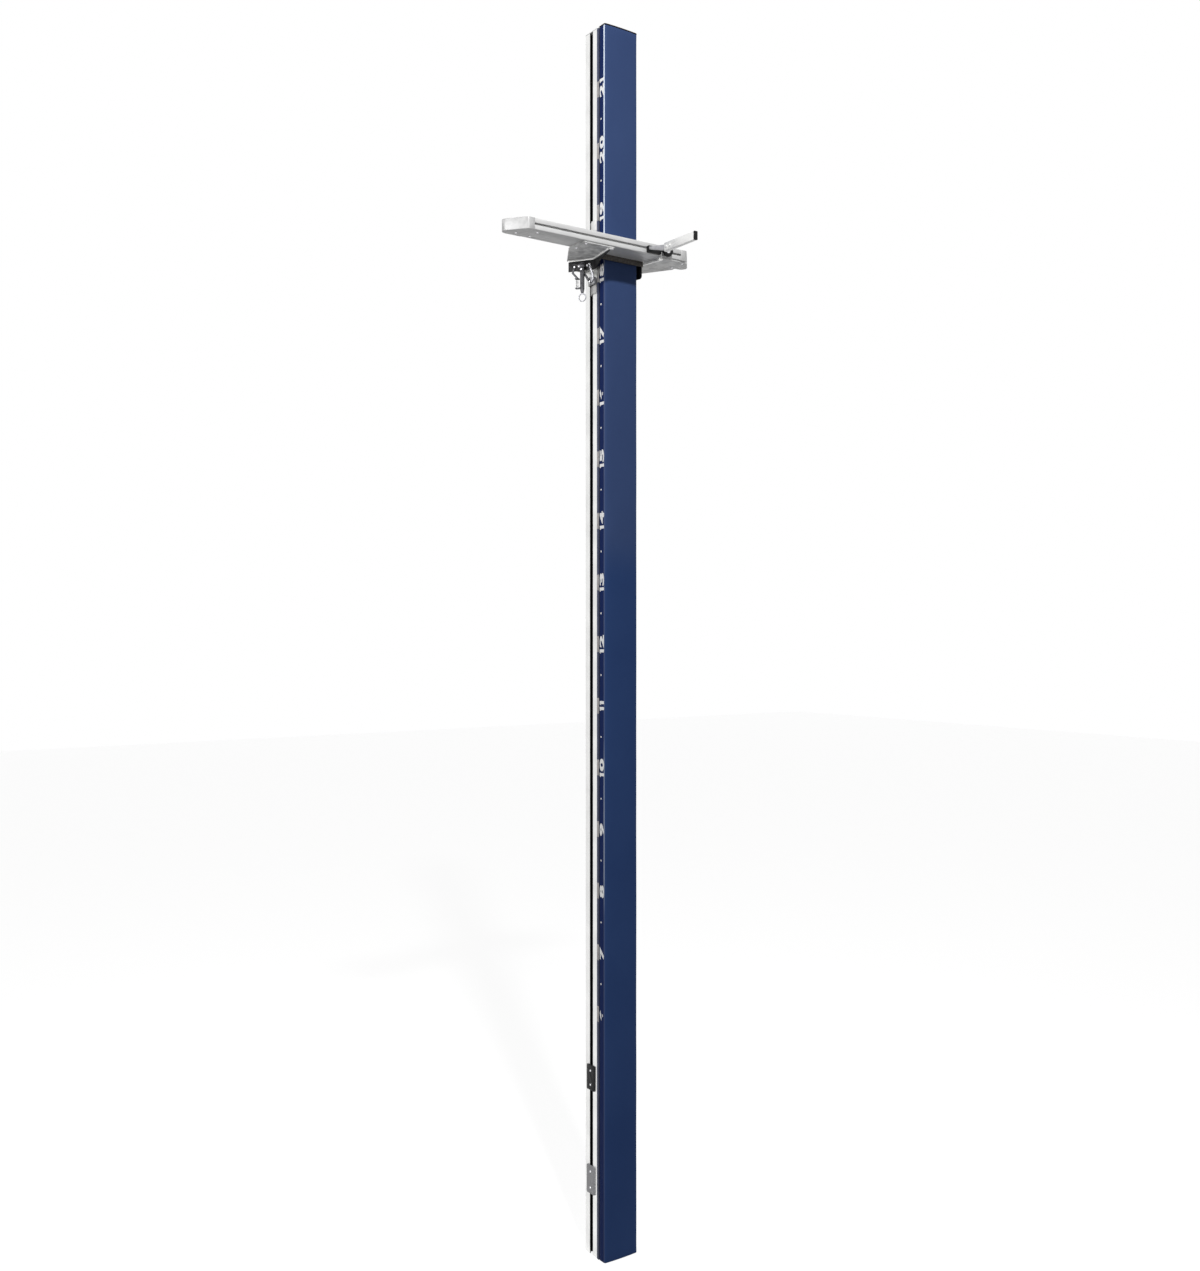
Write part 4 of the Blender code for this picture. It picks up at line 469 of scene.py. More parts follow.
def moulded_plastic(name, dark, light, roughness, grain, ior=1.5):
    finish = new_finish(name, light, roughness, ior=ior)
    tint(finish, speckle(finish, 60), dark, light)
    polish(finish, speckle(finish, 200), roughness - 0.06, roughness + 0.08)
    relief(finish, pebbles(finish, 1400), grain)
    return finish


black_nylon = moulded_plastic(
    "black_nylon", (0.006, 0.006, 0.007), (0.014, 0.014, 0.015), 0.46, 0.00004, ior=1.28
)
give(black_nylon, "clamp_knob", "slide_block", "peg_tip", *sides("stop_plate", "bottom_plug"))
pale_nylon = moulded_plastic("pale_nylon", (0.52, 0.52, 0.52), (0.62, 0.62, 0.62), 0.45, 0.00004)
give(pale_nylon, "top_cap")
white_acetal = moulded_plastic("white_acetal", (0.78, 0.77, 0.75), (0.88, 0.87, 0.86), 0.34, 0.00002)
give(white_acetal, *sides("glide_lower", "glide_upper"))
brake_lining = new_finish("brake_lining", (0.09, 0.08, 0.07), 0.8)
tint(brake_lining, speckle(brake_lining, 700), (0.06, 0.055, 0.05), (0.14, 0.12, 0.10))
relief(brake_lining, speckle(brake_lining, 700), 0.0001)
give(brake_lining, "brake_pad")
print("paint and plastics done")

# %% [markdown]
# ## Board and hook tape
# Behind the vinyl a stiff board keeps the pad straight, and two strips of hook tape hold it to the upright.
# Only their edges show from behind, as a dark grey line and a fuzzy black one.

# %% Board and tape
backer_grey = new_finish("backer_grey", (0.075, 0.075, 0.095), 0.7)
tint(backer_grey, speckle(backer_grey, 300), (0.060, 0.060, 0.080), (0.090, 0.090, 0.110))
relief(backer_grey, speckle(backer_grey, 900), 0.0001)
give(backer_grey, "pad_backer")
hook_black = new_finish("hook_black", (0.02, 0.02, 0.02), 0.95)
tint(hook_black, pebbles(hook_black, 700), (0.008, 0.008, 0.008), (0.045, 0.045, 0.045))
relief(hook_black, pebbles(hook_black, 700), 0.0004)
give(hook_black, *sides("pad_tape"))
print("board and tape done")

# %% [markdown]
# ## Easing the CAD edges
# A machined or moulded edge is never perfectly sharp: it catches a thin line of light. A Weld modifier joins
# the CAD triangles, a Bevel rounds the corners by less than a millimetre, and a small geometry-node group
# shades the flat faces flat and the round ones round. The CAD mesh under the modifiers isn't touched.

# %% Ease the CAD edges
def shade_by_angle(degrees):
    """A geometry-node group that shades smooth, except over edges sharper than the angle."""
    group = bpy.data.node_groups.new("shade_by_angle", "GeometryNodeTree")
    group.interface.new_socket("Geometry", in_out="INPUT", socket_type="NodeSocketGeometry")
    group.interface.new_socket("Geometry", in_out="OUTPUT", socket_type="NodeSocketGeometry")
    start = group.nodes.new("NodeGroupInput")
    end = group.nodes.new("NodeGroupOutput")
    smooth = group.nodes.new("GeometryNodeSetShadeSmooth")
    smooth.inputs["Shade Smooth"].default_value = True
    sharp = group.nodes.new("GeometryNodeSetShadeSmooth")
    sharp.domain = "EDGE"
    sharp.inputs["Shade Smooth"].default_value = False
    angle = group.nodes.new("GeometryNodeInputMeshEdgeAngle")
    over = group.nodes.new("FunctionNodeCompare")
    over.operation = "GREATER_THAN"
    over.inputs["B"].default_value = math.radians(degrees)
    group.links.new(angle.outputs["Unsigned Angle"], over.inputs["A"])
    group.links.new(start.outputs[0], smooth.inputs["Geometry"])
    group.links.new(smooth.outputs[0], sharp.inputs["Geometry"])
    group.links.new(over.outputs[0], sharp.inputs["Selection"])
    group.links.new(sharp.outputs[0], end.inputs[0])
    return group


SMOOTH_UP_TO = 32
BEVEL_FROM = math.radians(38)
WELD_DISTANCE = 0.00002
edge_shading = shade_by_angle(SMOOTH_UP_TO)


def ease(width, *names):
    """Welds the nodes and shades them by angle, and bevels them where there is a width."""
    for name in names:
        weld = nodes[name].modifiers.new("weld", "WELD")
        weld.merge_threshold = WELD_DISTANCE
        if width:
            bevel = nodes[name].modifiers.new("eased_edges", "BEVEL")
            bevel.width = width
            bevel.segments = 2
            bevel.limit_method = "ANGLE"
            bevel.angle_limit = BEVEL_FROM
        shading = nodes[name].modifiers.new("shading", "NODES")
        shading.node_group = edge_shading


ease(
    0.0006,
    "cross_arm", "slide_block", "peg_tube", "top_cap", *sides("arm_end_cap", "stop_plate", "base_plate"),
)
ease(
    0.0005,
    "brake_hanger", "brake_link", "pull_rod", "rod_guide", "spring_anchor", "peg_plate", "brake_shoe",
    *sides("side_plate", "glide_lower", "glide_upper"),
)
ease(
    0.0,
    "upright_extrusion", "clamp_knob", "knob_stud", "knob_washer", "pull_ring", "return_spring",
    "hanger_pin", "shoe_pin", "link_pin", "peg_tip", "slide_nut", *PLATE_NUTS,
    *sides("wing_bracket", "knuckle", "slide_bar"),
)
print("edges eased")

# %% [markdown]
# ## The pad
# The pad is a bar of foam in a navy vinyl cover, as long as the upright. It could be one long box with
# rounded edges, but a filled cover swells a little between its edges and ripples where the vinyl is pulled,
# and that is what the eye reads as soft. So a box is beveled and cut into small faces, its back is pinned,
# and Blender's Cloth blows it up gently from inside. The swelling is capped at about two millimetres, as
# foam holds its shape far better than a balloon. The front also has a slight crown, highest in its middle.

# %% Shape the pad
cover_low, cover_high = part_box("pad_cover")
PAD_CORNER = 0.010
PAD_CROWN = 0.003
PAD_END_ROUND = 0.003
NEAR = 0.001
LENGTH_CUTS = 290
FRONT_CUTS = 10
SIDE_CUTS = 3


def is_upright(edge, low, high):
    """Whether an edge runs over more than half the height between two corners of a box."""
    first, second = (vert.co for vert in edge.verts)
    return abs(first.z - second.z) > (high.z - low.z) / 2


def round_edges(shape, edges, offset, segments):
    bmesh.ops.bevel(
        shape, geom=edges, offset=offset, segments=segments, profile=0.5, affect="EDGES", material=-1
    )


def rounded_block(low, high, segments):
    """A box as the CAD model has it, without its crown, and with its two front edges rounded."""
    shape = bmesh.new()
    bmesh.ops.create_cube(shape, size=1.0)
    size = high - low
    size.y -= PAD_CROWN
    middle = (high + low) / 2
    middle.y += PAD_CROWN / 2
    bmesh.ops.scale(shape, vec=size, verts=shape.verts)
    bmesh.ops.translate(shape, vec=middle, verts=shape.verts)
    front = low.y + PAD_CROWN
    corners = [
        edge for edge in shape.edges
        if is_upright(edge, low, high) and edge.verts[0].co.y < front + NEAR
    ]
    round_edges(shape, corners, PAD_CORNER, segments)
    return shape


def cut_across(shape, axis, low, high, cuts):
    """Cuts the whole shape with evenly spaced planes across an axis."""
    normal = Vector((0, 0, 0))
    normal[axis] = 1
    for step in range(1, cuts + 1):
        place = Vector((0, 0, 0))
        place[axis] = low + (high - low) * step / (cuts + 1)
        everything = shape.verts[:] + shape.edges[:] + shape.faces[:]
        bmesh.ops.bisect_plane(shape, geom=everything, plane_co=place, plane_no=normal)


def crown(shape, low, high):
    """Swells the front of a block forward, most in its middle."""
    inner = high.x - PAD_CORNER
    front = low.y + PAD_CROWN
    for vert in shape.verts:
        if vert.co.y < front + PAD_CORNER / 2:
            across = min(1.0, abs(vert.co.x) / inner)
            vert.co.y -= PAD_CROWN * (1 - across * across)


def pad_form():
    shape = rounded_block(cover_low, cover_high, 4)
    ends = [
        edge for edge in shape.edges
        if not is_upright(edge, cover_low, cover_high)
        and min(vert.co.y for vert in edge.verts) < cover_high.y - NEAR
    ]
    round_edges(shape, ends, PAD_END_ROUND, 2)
    inner = cover_high.x - PAD_CORNER
    cut_across(shape, 0, -inner, inner, FRONT_CUTS)
    cut_across(shape, 1, cover_high.y, cover_low.y + PAD_CROWN + PAD_CORNER, SIDE_CUTS)
    long_edges = [edge for edge in shape.edges if is_upright(edge, cover_low, cover_high)]
    bmesh.ops.subdivide_edges(shape, edges=long_edges, cuts=LENGTH_CUTS, use_grid_fill=True)
    crown(shape, cover_low, cover_high)
    bmesh.ops.recalc_face_normals(shape, faces=shape.faces)
    return shape


pad = object_of(pad_form(), "pad_vinyl")
pad_mesh = pad.data
print("pad:", len(pad_mesh.vertices), "points before it is filled")

# %% [markdown]
# ## Filling the pad
# Pinned points stay where they are, so the pad's flat back and its sewn ends hold, and the free points move
# outwards under the pressure. How far each may move is limited, and a little slow noise along the length
# makes the ripples that a hand-wrapped cover has. The result is written into the pad's own mesh.

# %% Fill the pad
CLOTH_FRAMES = 20
FRONT_CAP = 0.0022
SIDE_CAP = 0.0012
PINNED_BACK = 0.004
PINNED_END = 0.002
SLOW_WAVES = (6, 6, 2.3)
QUICK_WAVES = (14, 14, 9.0)
QUICK_START = 7
EVEN_SHARE = 0.72
SLOW_SHARE = 0.55
QUICK_SHARE = 0.18
STILL = 1e-7


def filled(obj):
    """The places that the cloth's points reach when it is blown up with its back and ends pinned."""
    pins = obj.vertex_groups.new(name="pinned")
    held = [
        vert.index for vert in obj.data.vertices
        if vert.co.y > cover_high.y - PINNED_BACK
        or vert.co.z < cover_low.z + PINNED_END
        or vert.co.z > cover_high.z - PINNED_END
    ]
    pins.add(held, 1.0, "REPLACE")
    cloth = obj.modifiers.new("filling", "CLOTH")
    cloth.settings.vertex_group_mass = "pinned"
    cloth.settings.use_pressure = True
    cloth.settings.uniform_pressure_force = 4.0
    cloth.settings.effector_weights.gravity = 0.0
    cloth.settings.tension_stiffness = 15.0
    cloth.settings.compression_stiffness = 15.0
    cloth.settings.bending_stiffness = 2.0
    cloth.point_cache.frame_start = 1
    cloth.point_cache.frame_end = CLOTH_FRAMES
    for step in range(1, CLOTH_FRAMES + 1):
        scene.frame_set(step)
    graph = bpy.context.evaluated_depsgraph_get()
    places = [vert.co.copy() for vert in obj.evaluated_get(graph).data.vertices]
    obj.modifiers.remove(cloth)
    obj.vertex_groups.remove(pins)
    scene.frame_set(1)
    return places


def ripple(place, waves, start=0.0):
    """Noise from -1 to 1, with its waves per metre along each axis."""
    x, y, z = (part * count for part, count in zip(place, waves))
    return noise.noise(Vector((x, y, z + start)))


def settle(obj, places):
    """Moves each point towards its filled place, no further than its cap, with slow ripples."""
    furthest = 0.0
    for vert, place in zip(obj.data.vertices, places):
        rest = vert.co.copy()
        move = place - rest
        in_front = rest.y < cover_low.y + PAD_CROWN + PAD_CORNER / 2
        cap = FRONT_CAP if in_front else SIDE_CAP
        slow = SLOW_SHARE * ripple(rest, SLOW_WAVES)
        quick = QUICK_SHARE * ripple(rest, QUICK_WAVES, QUICK_START)
        reach = min(move.length, cap) * (EVEN_SHARE + slow + quick)
        if move.length > STILL:
            vert.co = rest + move.normalized() * reach
        furthest = max(furthest, reach)
    obj.data.update()
    return furthest


pad_places = filled(pad)
pad_swell = settle(pad, pad_places)
for face in pad_mesh.polygons:
    face.use_smooth = True
softer = pad.modifiers.new("softer", "SUBSURF")
softer.levels = 1
softer.render_levels = 1
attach(pad, "standard")
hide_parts("pad_cover", "pad_core")
print("pad swells", round(pad_swell * 1000, 2), "mm")

# %% [markdown]
# ## Navy vinyl
# Upholstery vinyl is PVC with a pressed leather grain: cells of about a millimetre with soft edges, under a
# semi-gloss skin. Its colour shifts a little along the length, and above a height it is painted a little
# lighter, as painted light for the more brightly lit upper half. The narrow sides, which carry the height
# scale, are painted darker as painted shade, and a pale line is painted down each front corner as a painted
# highlight, brightest above the carriage.

# %% Vinyl finish
LIGHTER_FROM = 3.35
LIGHTER_TO = 3.60
LIGHTER_SHARE = 0.085
SIDE_SHADE_INSET = 0.0022
HIGHLIGHT_FROM_SIDE = 0.0032
HIGHLIGHT_BEHIND_CORNER = 0.0015
HIGHLIGHT_STRENGTH = (
    (0.0, 0.05), (1.70, 0.07), (1.90, 0.32), (2.40, 0.32),
    (2.60, 0.08), (4.90, 0.07), (5.02, 0.98), (6.0, 0.94),
)


def fade_above(finish, low, high, share, lighter_colour):
    """Lightens the base colour a little above a height, as painted light for the more brightly lit upper pad.
    """
    tree = finish.node_tree
    overlay(finish, mapped(tree, on_object(tree, "Z"), (low, high), (0.0, share), smooth=True), lighter_colour)


def band_at_sides(finish, limit, side_shade_colour):
    """Paints the pad's two narrow sides, beyond the limit in x, a darker colour as painted shade."""
    tree = finish.node_tree
    overlay(finish, inside_range(tree, on_object(tree, "X"), limit), side_shade_colour, where_one=False)


def seam_at_corner(finish, from_x, from_y, stops, highlight_colour):
    """A painted highlight, a pale line along the two front corners; each stop is a height and the highlight's
    share there.
    """
    tree = finish.node_tree
    beyond = maths(tree, "SUBTRACT", 1.0, inside_range(tree, on_object(tree, "X"), from_x))
    in_front = maths(tree, "LESS_THAN", on_object(tree, "Y"), from_y)
    highlight_ramp = tree.nodes.new("ShaderNodeValToRGB")
    for _ in stops[2:]:
        highlight_ramp.color_ramp.elements.new(0.5)
    for element, (height, amount) in zip(highlight_ramp.color_ramp.elements, stops):
        element.position = height / cover_high.z
        element.color = (amount, amount, amount, 1.0)
    tree.links.new(maths(tree, "DIVIDE", on_object(tree, "Z"), cover_high.z), highlight_ramp.inputs["Fac"])
    corner = maths(tree, "MULTIPLY", beyond, in_front)
    overlay(finish, maths(tree, "MULTIPLY", corner, highlight_ramp.outputs["Color"]), highlight_colour)


navy_vinyl = new_finish("navy_vinyl", (0.028, 0.060, 0.172), 0.42, ior=1.10)
tint(
    navy_vinyl, speckle(navy_vinyl, 1.0, (3.0, 3.0, 2.2), 5.0),
    (0.025, 0.055, 0.162), (0.031, 0.065, 0.182), 0.30, 0.70,
)
# Painted light: above this height the pad's colour is a little paler, where the pad is lit more brightly.
fade_above(navy_vinyl, LIGHTER_FROM, LIGHTER_TO, LIGHTER_SHARE, (0.20, 0.21, 0.24))
# Painted shade: the pad's narrow sides are coloured darker than its front.
band_at_sides(navy_vinyl, cover_high.x - SIDE_SHADE_INSET, (0.009, 0.022, 0.100))
# Painted highlight: a pale line down each front corner, strongest above the carriage.
highlight_back = cover_low.y + PAD_CORNER + PAD_CROWN + HIGHLIGHT_BEHIND_CORNER
seam_at_corner(navy_vinyl, cover_high.x - HIGHLIGHT_FROM_SIDE, highlight_back, HIGHLIGHT_STRENGTH, (0.72, 0.80, 0.92))
polish(navy_vinyl, speckle(navy_vinyl, 24, (1, 1, 0.4), 4.0), 0.36, 0.50)
relief(navy_vinyl, pebbles(navy_vinyl, 850), 0.00007)
relief(navy_vinyl, speckle(navy_vinyl, 9, (1, 1, 0.35), 2.0), 0.0006)
pad_mesh.materials.append(navy_vinyl)
print("navy vinyl on the pad")

# %% [markdown]
# ## The binding on the pad's top
# The open end of the cover is closed with a dark woven tape sewn over the edge. It follows the pad's outline
# in plan, so it is made from the pad's own top: a plate with the same rounded corners, its edges rolled over.

# %% Bind the pad's top
binding_low, binding_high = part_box("pad_top_binding")
TAPE_CUTS = 24
TAPE_ROUND = 0.0018
ROLLED_FROM = 1.2
SHARP_FROM = math.radians(35)


def tape_form():
    shape = rounded_block(binding_low, binding_high, 6)
    inner = binding_high.x - PAD_CORNER
    cut_across(shape, 0, -inner, inner, TAPE_CUTS)
    crown(shape, binding_low, binding_high)
    rolled = [edge for edge in shape.edges if edge.is_manifold and edge.calc_face_angle() > ROLLED_FROM]
    round_edges(shape, rolled, TAPE_ROUND, 3)
    bmesh.ops.recalc_face_normals(shape, faces=shape.faces)
    return shape


def finished(shape, name, finish, body):
    """Makes an object of the bmesh, smooth except over sharp edges, and hangs it on its body."""
    for face in shape.faces:
        face.smooth = True
    for edge in shape.edges:
        edge.smooth = not (edge.is_manifold and edge.calc_face_angle() > SHARP_FROM)
    made = object_of(shape, name)
    made.data.materials.append(finish)
    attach(made, body)
    print(name, len(made.data.polygons), "faces")
    return made


woven_tape = new_finish("woven_tape", (0.016, 0.010, 0.010), 0.75, ior=1.25)
tint(woven_tape, speckle(woven_tape, 500, (1, 1, 3)), (0.008, 0.005, 0.005), (0.026, 0.018, 0.016))
relief(woven_tape, speckle(woven_tape, 900, (1, 1, 0.3), 1.0), 0.0002)
binding = finished(tape_form(), "top_binding_tape", woven_tape, "standard")
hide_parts("pad_top_binding")

# %% [markdown]
# ## The height scale
# The narrow side of the pad carries the height in feet, turned to read upwards, with a dot at each half
# foot. The figures are white flexible print that lies on the vinyl and runs round its rounded corner. Flat
# text pushed against a curved pad would sink in, so each figure is made as a flat mesh, cut finer, and its
# points are laid on the pad: first along the pad's section, and then down to the filled surface itself.

# %% The pad's surface as a ruler
FIGURE_BACK = 0.005
FIGURE_HEIGHT = 0.036
PRINT_LIFT = 0.00025
PRINT_THICKNESS = 0.0002
RAY_START = 0.02
RAY_LENGTH = 0.05
pad_side_length = (cover_high.y - cover_low.y) - PAD_CROWN - PAD_CORNER
pad_surface = BVHTree.FromObject(pad, bpy.context.evaluated_depsgraph_get())


def on_pad(across, height):
    """The point of the pad's left side that lies across metres from its back edge, and its outward normal."""
    if across < pad_side_length:
        rest = Vector((cover_low.x, cover_high.y - across, height))
        outward = Vector((-1, 0, 0))
    else:
        turn = (across - pad_side_length) / PAD_CORNER
        outward = Vector((-math.cos(turn), -math.sin(turn), 0))
        centre = Vector((cover_low.x + PAD_CORNER, cover_high.y - pad_side_length, height))
        rest = centre + outward * PAD_CORNER
    hit = pad_surface.ray_cast(rest + outward * RAY_START, -outward, RAY_LENGTH)[0]
    return (hit or rest) + outward * PRINT_LIFT, outward


print("pad side is", round(pad_side_length * 1000, 1), "mm to its rounded corner")

# %% [markdown]
# Blender's own text objects give plain figures. A wide bold face is closest to the photograph, so the
# figures are thickened with the curve's offset and stretched along the pad. The figure one is only a bar
# with a short flag there, so it is drawn as one.

# %% Figures and dots
FIGURE_WIDTH = 0.062
FIGURE_WEIGHT = 0.045
ONE_WIDTH = 0.020
FIGURE_GAP = 0.009
FLAG_ROOT = 0.25
FLAG_REACH = (-0.35, -0.10, 0)
UPWARD_CUT = 0.008
BACKWARD_CUT = 0.004
DOT_RADIUS = 0.0046
DOT_ACROSS = 0.017


def text_shape(character):
    """A flat figure as a bmesh, in the font's own size and place."""
    curve = bpy.data.curves.new("figure", "FONT")
    curve.body = character
    curve.offset = FIGURE_WEIGHT
    curve.resolution_u = 6
    source = bpy.data.objects.new("figure", curve)
    scene.collection.objects.link(source)
    made = bpy.data.meshes.new_from_object(source.evaluated_get(bpy.context.evaluated_depsgraph_get()))
    shape = bmesh.new()
    shape.from_mesh(made)
    bpy.data.objects.remove(source)
    bpy.data.meshes.remove(made)
    bmesh.ops.remove_doubles(shape, verts=shape.verts, dist=0.0005)
    return shape


def bar_shape():
    """A plain bar with a flag at its top left, for the figure one."""
    shape = bmesh.new()
    bmesh.ops.create_grid(shape, x_segments=1, y_segments=5, size=0.5)
    root = [
        edge for edge in shape.edges
        if all(vert.co.x < 0 and vert.co.y > FLAG_ROOT for vert in edge.verts)
    ]
    flag = bmesh.ops.extrude_edge_only(shape, edges=root)["geom"]
    tip = [item for item in flag if isinstance(item, bmesh.types.BMVert)]
    bmesh.ops.translate(shape, vec=FLAG_REACH, verts=tip)
    return shape


def fitted(shape, width, height):
    """The figure moved to the origin and scaled to a width and a height."""
    low_x = min(vert.co.x for vert in shape.verts)
    low_y = min(vert.co.y for vert in shape.verts)
    span_x = max(vert.co.x for vert in shape.verts) - low_x
    span_y = max(vert.co.y for vert in shape.verts) - low_y
    bmesh.ops.translate(shape, vec=(-low_x, -low_y, 0), verts=shape.verts)
    bmesh.ops.scale(shape, vec=(width / span_x, height / span_y, 1), verts=shape.verts)
    return shape


def cut_finer(shape):
    """Cuts the flat figure with a grid, so that it can bend round the corner."""
    low = Vector((min(v.co.x for v in shape.verts), min(v.co.y for v in shape.verts)))
    high = Vector((max(v.co.x for v in shape.verts), max(v.co.y for v in shape.verts)))
    cut_across(shape, 0, low.x, high.x, max(1, int((high.x - low.x) / UPWARD_CUT)))
    cut_across(shape, 1, low.y, high.y, max(1, int((high.y - low.y) / BACKWARD_CUT)))
    bmesh.ops.triangulate(shape, faces=shape.faces)


def lay_on_pad(shape, start_height):
    """Bends the flat figure onto the pad: its width runs up the pad and its height runs back."""
    cut_finer(shape)
    outwards = {}
    for vert in shape.verts:
        across = FIGURE_BACK + FIGURE_HEIGHT - vert.co.y
        place, outward = on_pad(across, start_height + vert.co.x)
        vert.co = place
        outwards[vert] = outward
    bmesh.ops.recalc_face_normals(shape, faces=shape.faces)
    top = bmesh.ops.extrude_face_region(shape, geom=shape.faces[:])["geom"]
    for item in top:
        if isinstance(item, bmesh.types.BMVert):
            item.co.x -= PRINT_THICKNESS
    bmesh.ops.recalc_face_normals(shape, faces=shape.faces)


def add_shape(gathered, shape):
    """Adds a bmesh to another one and frees it."""
    passed = bpy.data.meshes.new("passed")
    shape.to_mesh(passed)
    shape.free()
    gathered.from_mesh(passed)
    bpy.data.meshes.remove(passed)


def number_shape(number, centre_height):
    """All the figures of one number in one bmesh, centred at its height."""
    widths = [ONE_WIDTH if figure == "1" else FIGURE_WIDTH for figure in str(number)]
    height = centre_height - (sum(widths) + FIGURE_GAP * (len(widths) - 1)) / 2
    gathered = bmesh.new()
    for figure, width in zip(str(number), widths):
        shape = bar_shape() if figure == "1" else text_shape(figure)
        lay_on_pad(fitted(shape, width, FIGURE_HEIGHT), height)
        add_shape(gathered, shape)
        height += width + FIGURE_GAP
    return gathered


def dot_shape(height):
    shape = bmesh.new()
    bmesh.ops.create_circle(shape, cap_ends=True, segments=20, radius=DOT_RADIUS)
    middle = Vector((height, FIGURE_BACK + FIGURE_HEIGHT - DOT_ACROSS, 0))
    bmesh.ops.translate(shape, vec=middle, verts=shape.verts)
    lay_on_pad(shape, 0.0)
    return shape


print("figures ready")

# %% [markdown]
# The lowest figure in the photograph is 6 feet and the highest 21. Their spacing is exactly a foot, which
# also fixed the size of the whole part. Six feet is printed only 1.21 metres above the upright's foot, so
# the scale counts from somewhere lower than that foot.

# %% Print the scale
FOOT = 0.3048
LOWEST_FEET = 6
HIGHEST_FEET = 21
LOWEST_HEIGHT = 1.2143
PRINTED_FEET = range(LOWEST_FEET, HIGHEST_FEET + 1)


def height_of(feet):
    return LOWEST_HEIGHT + (feet - LOWEST_FEET) * FOOT


print_white = new_finish("print_white", (0.93, 0.93, 0.94), 0.5)
tint(print_white, speckle(print_white, 30), (0.90, 0.91, 0.92), (0.96, 0.96, 0.96))
relief(print_white, pebbles(print_white, 850), 0.00005)
scale_print = bmesh.new()
for feet in PRINTED_FEET:
    add_shape(scale_print, number_shape(feet, height_of(feet)))
    if feet < HIGHEST_FEET:
        add_shape(scale_print, dot_shape(height_of(feet) + FOOT / 2))
finished(scale_print, "height_scale", print_white, "standard")

# %% [markdown]
# ## The hem and the number tabs
# The cover's cut edge is turned back over the board and laps a little way onto the upright's narrow side, as
# far as the carriage's glides leave room. Beside every number a pale tab of the label is folded over that
# hem. Both are thin plates with rounded edges, standing out from the side by a millimetre or less.

# %% Lap the hem and fold the tabs
HEM_THICKNESS = 0.0008
HEM_CLEARANCE = 0.0003
GLIDE_CLEARANCE = 0.0015
TAB_THICKNESS = 0.0004
TAB_LENGTH = 0.078
TAB_SETBACK = 0.001
hem_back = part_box("glide_upper_left")[0].y - GLIDE_CLEARANCE


def thin_plate(side, stand_off, thickness, back, low, high):
    """A thin plate against one narrow side, from back to the pad in y and from low to high in z."""
    shape = bmesh.new()
    bmesh.ops.create_cube(shape, size=1.0)
    middle_x = side * (upright_high.x + stand_off + thickness / 2)
    bmesh.ops.scale(shape, vec=(thickness, back - cover_high.y, high - low), verts=shape.verts)
    middle = (middle_x, (back + cover_high.y) / 2, (low + high) / 2)
    bmesh.ops.translate(shape, vec=middle, verts=shape.verts)
    round_edges(shape, shape.edges[:], thickness * 0.3, 2)
    return shape


hem_vinyl = new_finish("hem_vinyl", (0.050, 0.062, 0.120), 0.5, ior=1.3)
tint(hem_vinyl, speckle(hem_vinyl, 14), (0.042, 0.053, 0.105), (0.060, 0.072, 0.135))
relief(hem_vinyl, pebbles(hem_vinyl, 850), 0.00006)
for word, side in (("left", -1), ("right", 1)):
    hem = thin_plate(side, HEM_CLEARANCE, HEM_THICKNESS, hem_back, cover_low.z, cover_high.z)
    finished(hem, f"pad_hem_{word}", hem_vinyl, "standard")

tab_grey = new_finish("tab_grey", (0.44, 0.42, 0.42), 0.6)
tint(tab_grey, speckle(tab_grey, 60), (0.38, 0.36, 0.36), (0.52, 0.50, 0.50))
relief(tab_grey, speckle(tab_grey, 700), 0.00005)
tabs = bmesh.new()
stand_off = HEM_CLEARANCE + HEM_THICKNESS
tab_back = hem_back - TAB_SETBACK
for feet in PRINTED_FEET:
    low = height_of(feet) - TAB_LENGTH / 2
    add_shape(tabs, thin_plate(-1, stand_off, TAB_THICKNESS, tab_back, low, low + TAB_LENGTH))
finished(tabs, "number_tabs", tab_grey, "standard")

# %% [markdown]
# ## Socket screws
# Button-head screws with a hexagon socket hold the plates, the end caps and the brackets. One head is made
# once: its outline is spun round the axis, and the rings round the socket are drawn in to a hexagon. The CAD
# model has plain domes where a screw belongs to a solid, and a new head, a fraction larger, covers each of
# them. The other screws get their places from the pieces they hold.

# %% One socket head
HEAD_RADIUS = 0.0057
HEAD_HEIGHT = 0.0037
SOCKET_RADIUS = 0.0024
SOCKET_DEPTH = 0.0019
HEAD_STEPS = 24


def socket_head():
    """A domed head on the plane z = 0, with a hexagon socket."""
    shape = bmesh.new()
    outline = [
        (SOCKET_RADIUS, HEAD_HEIGHT - SOCKET_DEPTH), (SOCKET_RADIUS * 1.02, HEAD_HEIGHT - 0.0001),
        (SOCKET_RADIUS * 1.15, HEAD_HEIGHT), (HEAD_RADIUS * 0.62, HEAD_HEIGHT * 0.97),
        (HEAD_RADIUS * 0.86, HEAD_HEIGHT * 0.74), (HEAD_RADIUS * 0.98, HEAD_HEIGHT * 0.36), (HEAD_RADIUS, 0),
    ]
    verts = [shape.verts.new((radius, 0, height)) for radius, height in outline]
    edges = [shape.edges.new(pair) for pair in zip(verts, verts[1:])]
    bmesh.ops.spin(
        shape, geom=verts + edges, cent=(0, 0, 0), axis=(0, 0, 1), angle=2 * math.pi, steps=HEAD_STEPS,
        use_merge=True,
    )
    for vert in shape.verts:
        radius = math.hypot(vert.co.x, vert.co.y)
        if 0 < radius < SOCKET_RADIUS * 1.1:
            turn = math.atan2(vert.co.y, vert.co.x) % (math.pi / 3) - math.pi / 6
            flat = SOCKET_RADIUS * math.cos(math.pi / 6) / math.cos(turn)
            vert.co.x *= flat / radius
            vert.co.y *= flat / radius
    bottoms = [edge for edge in shape.edges if edge.is_boundary]
    bmesh.ops.holes_fill(shape, edges=bottoms, sides=0)
    bmesh.ops.recalc_face_normals(shape, faces=shape.faces)
    return shape


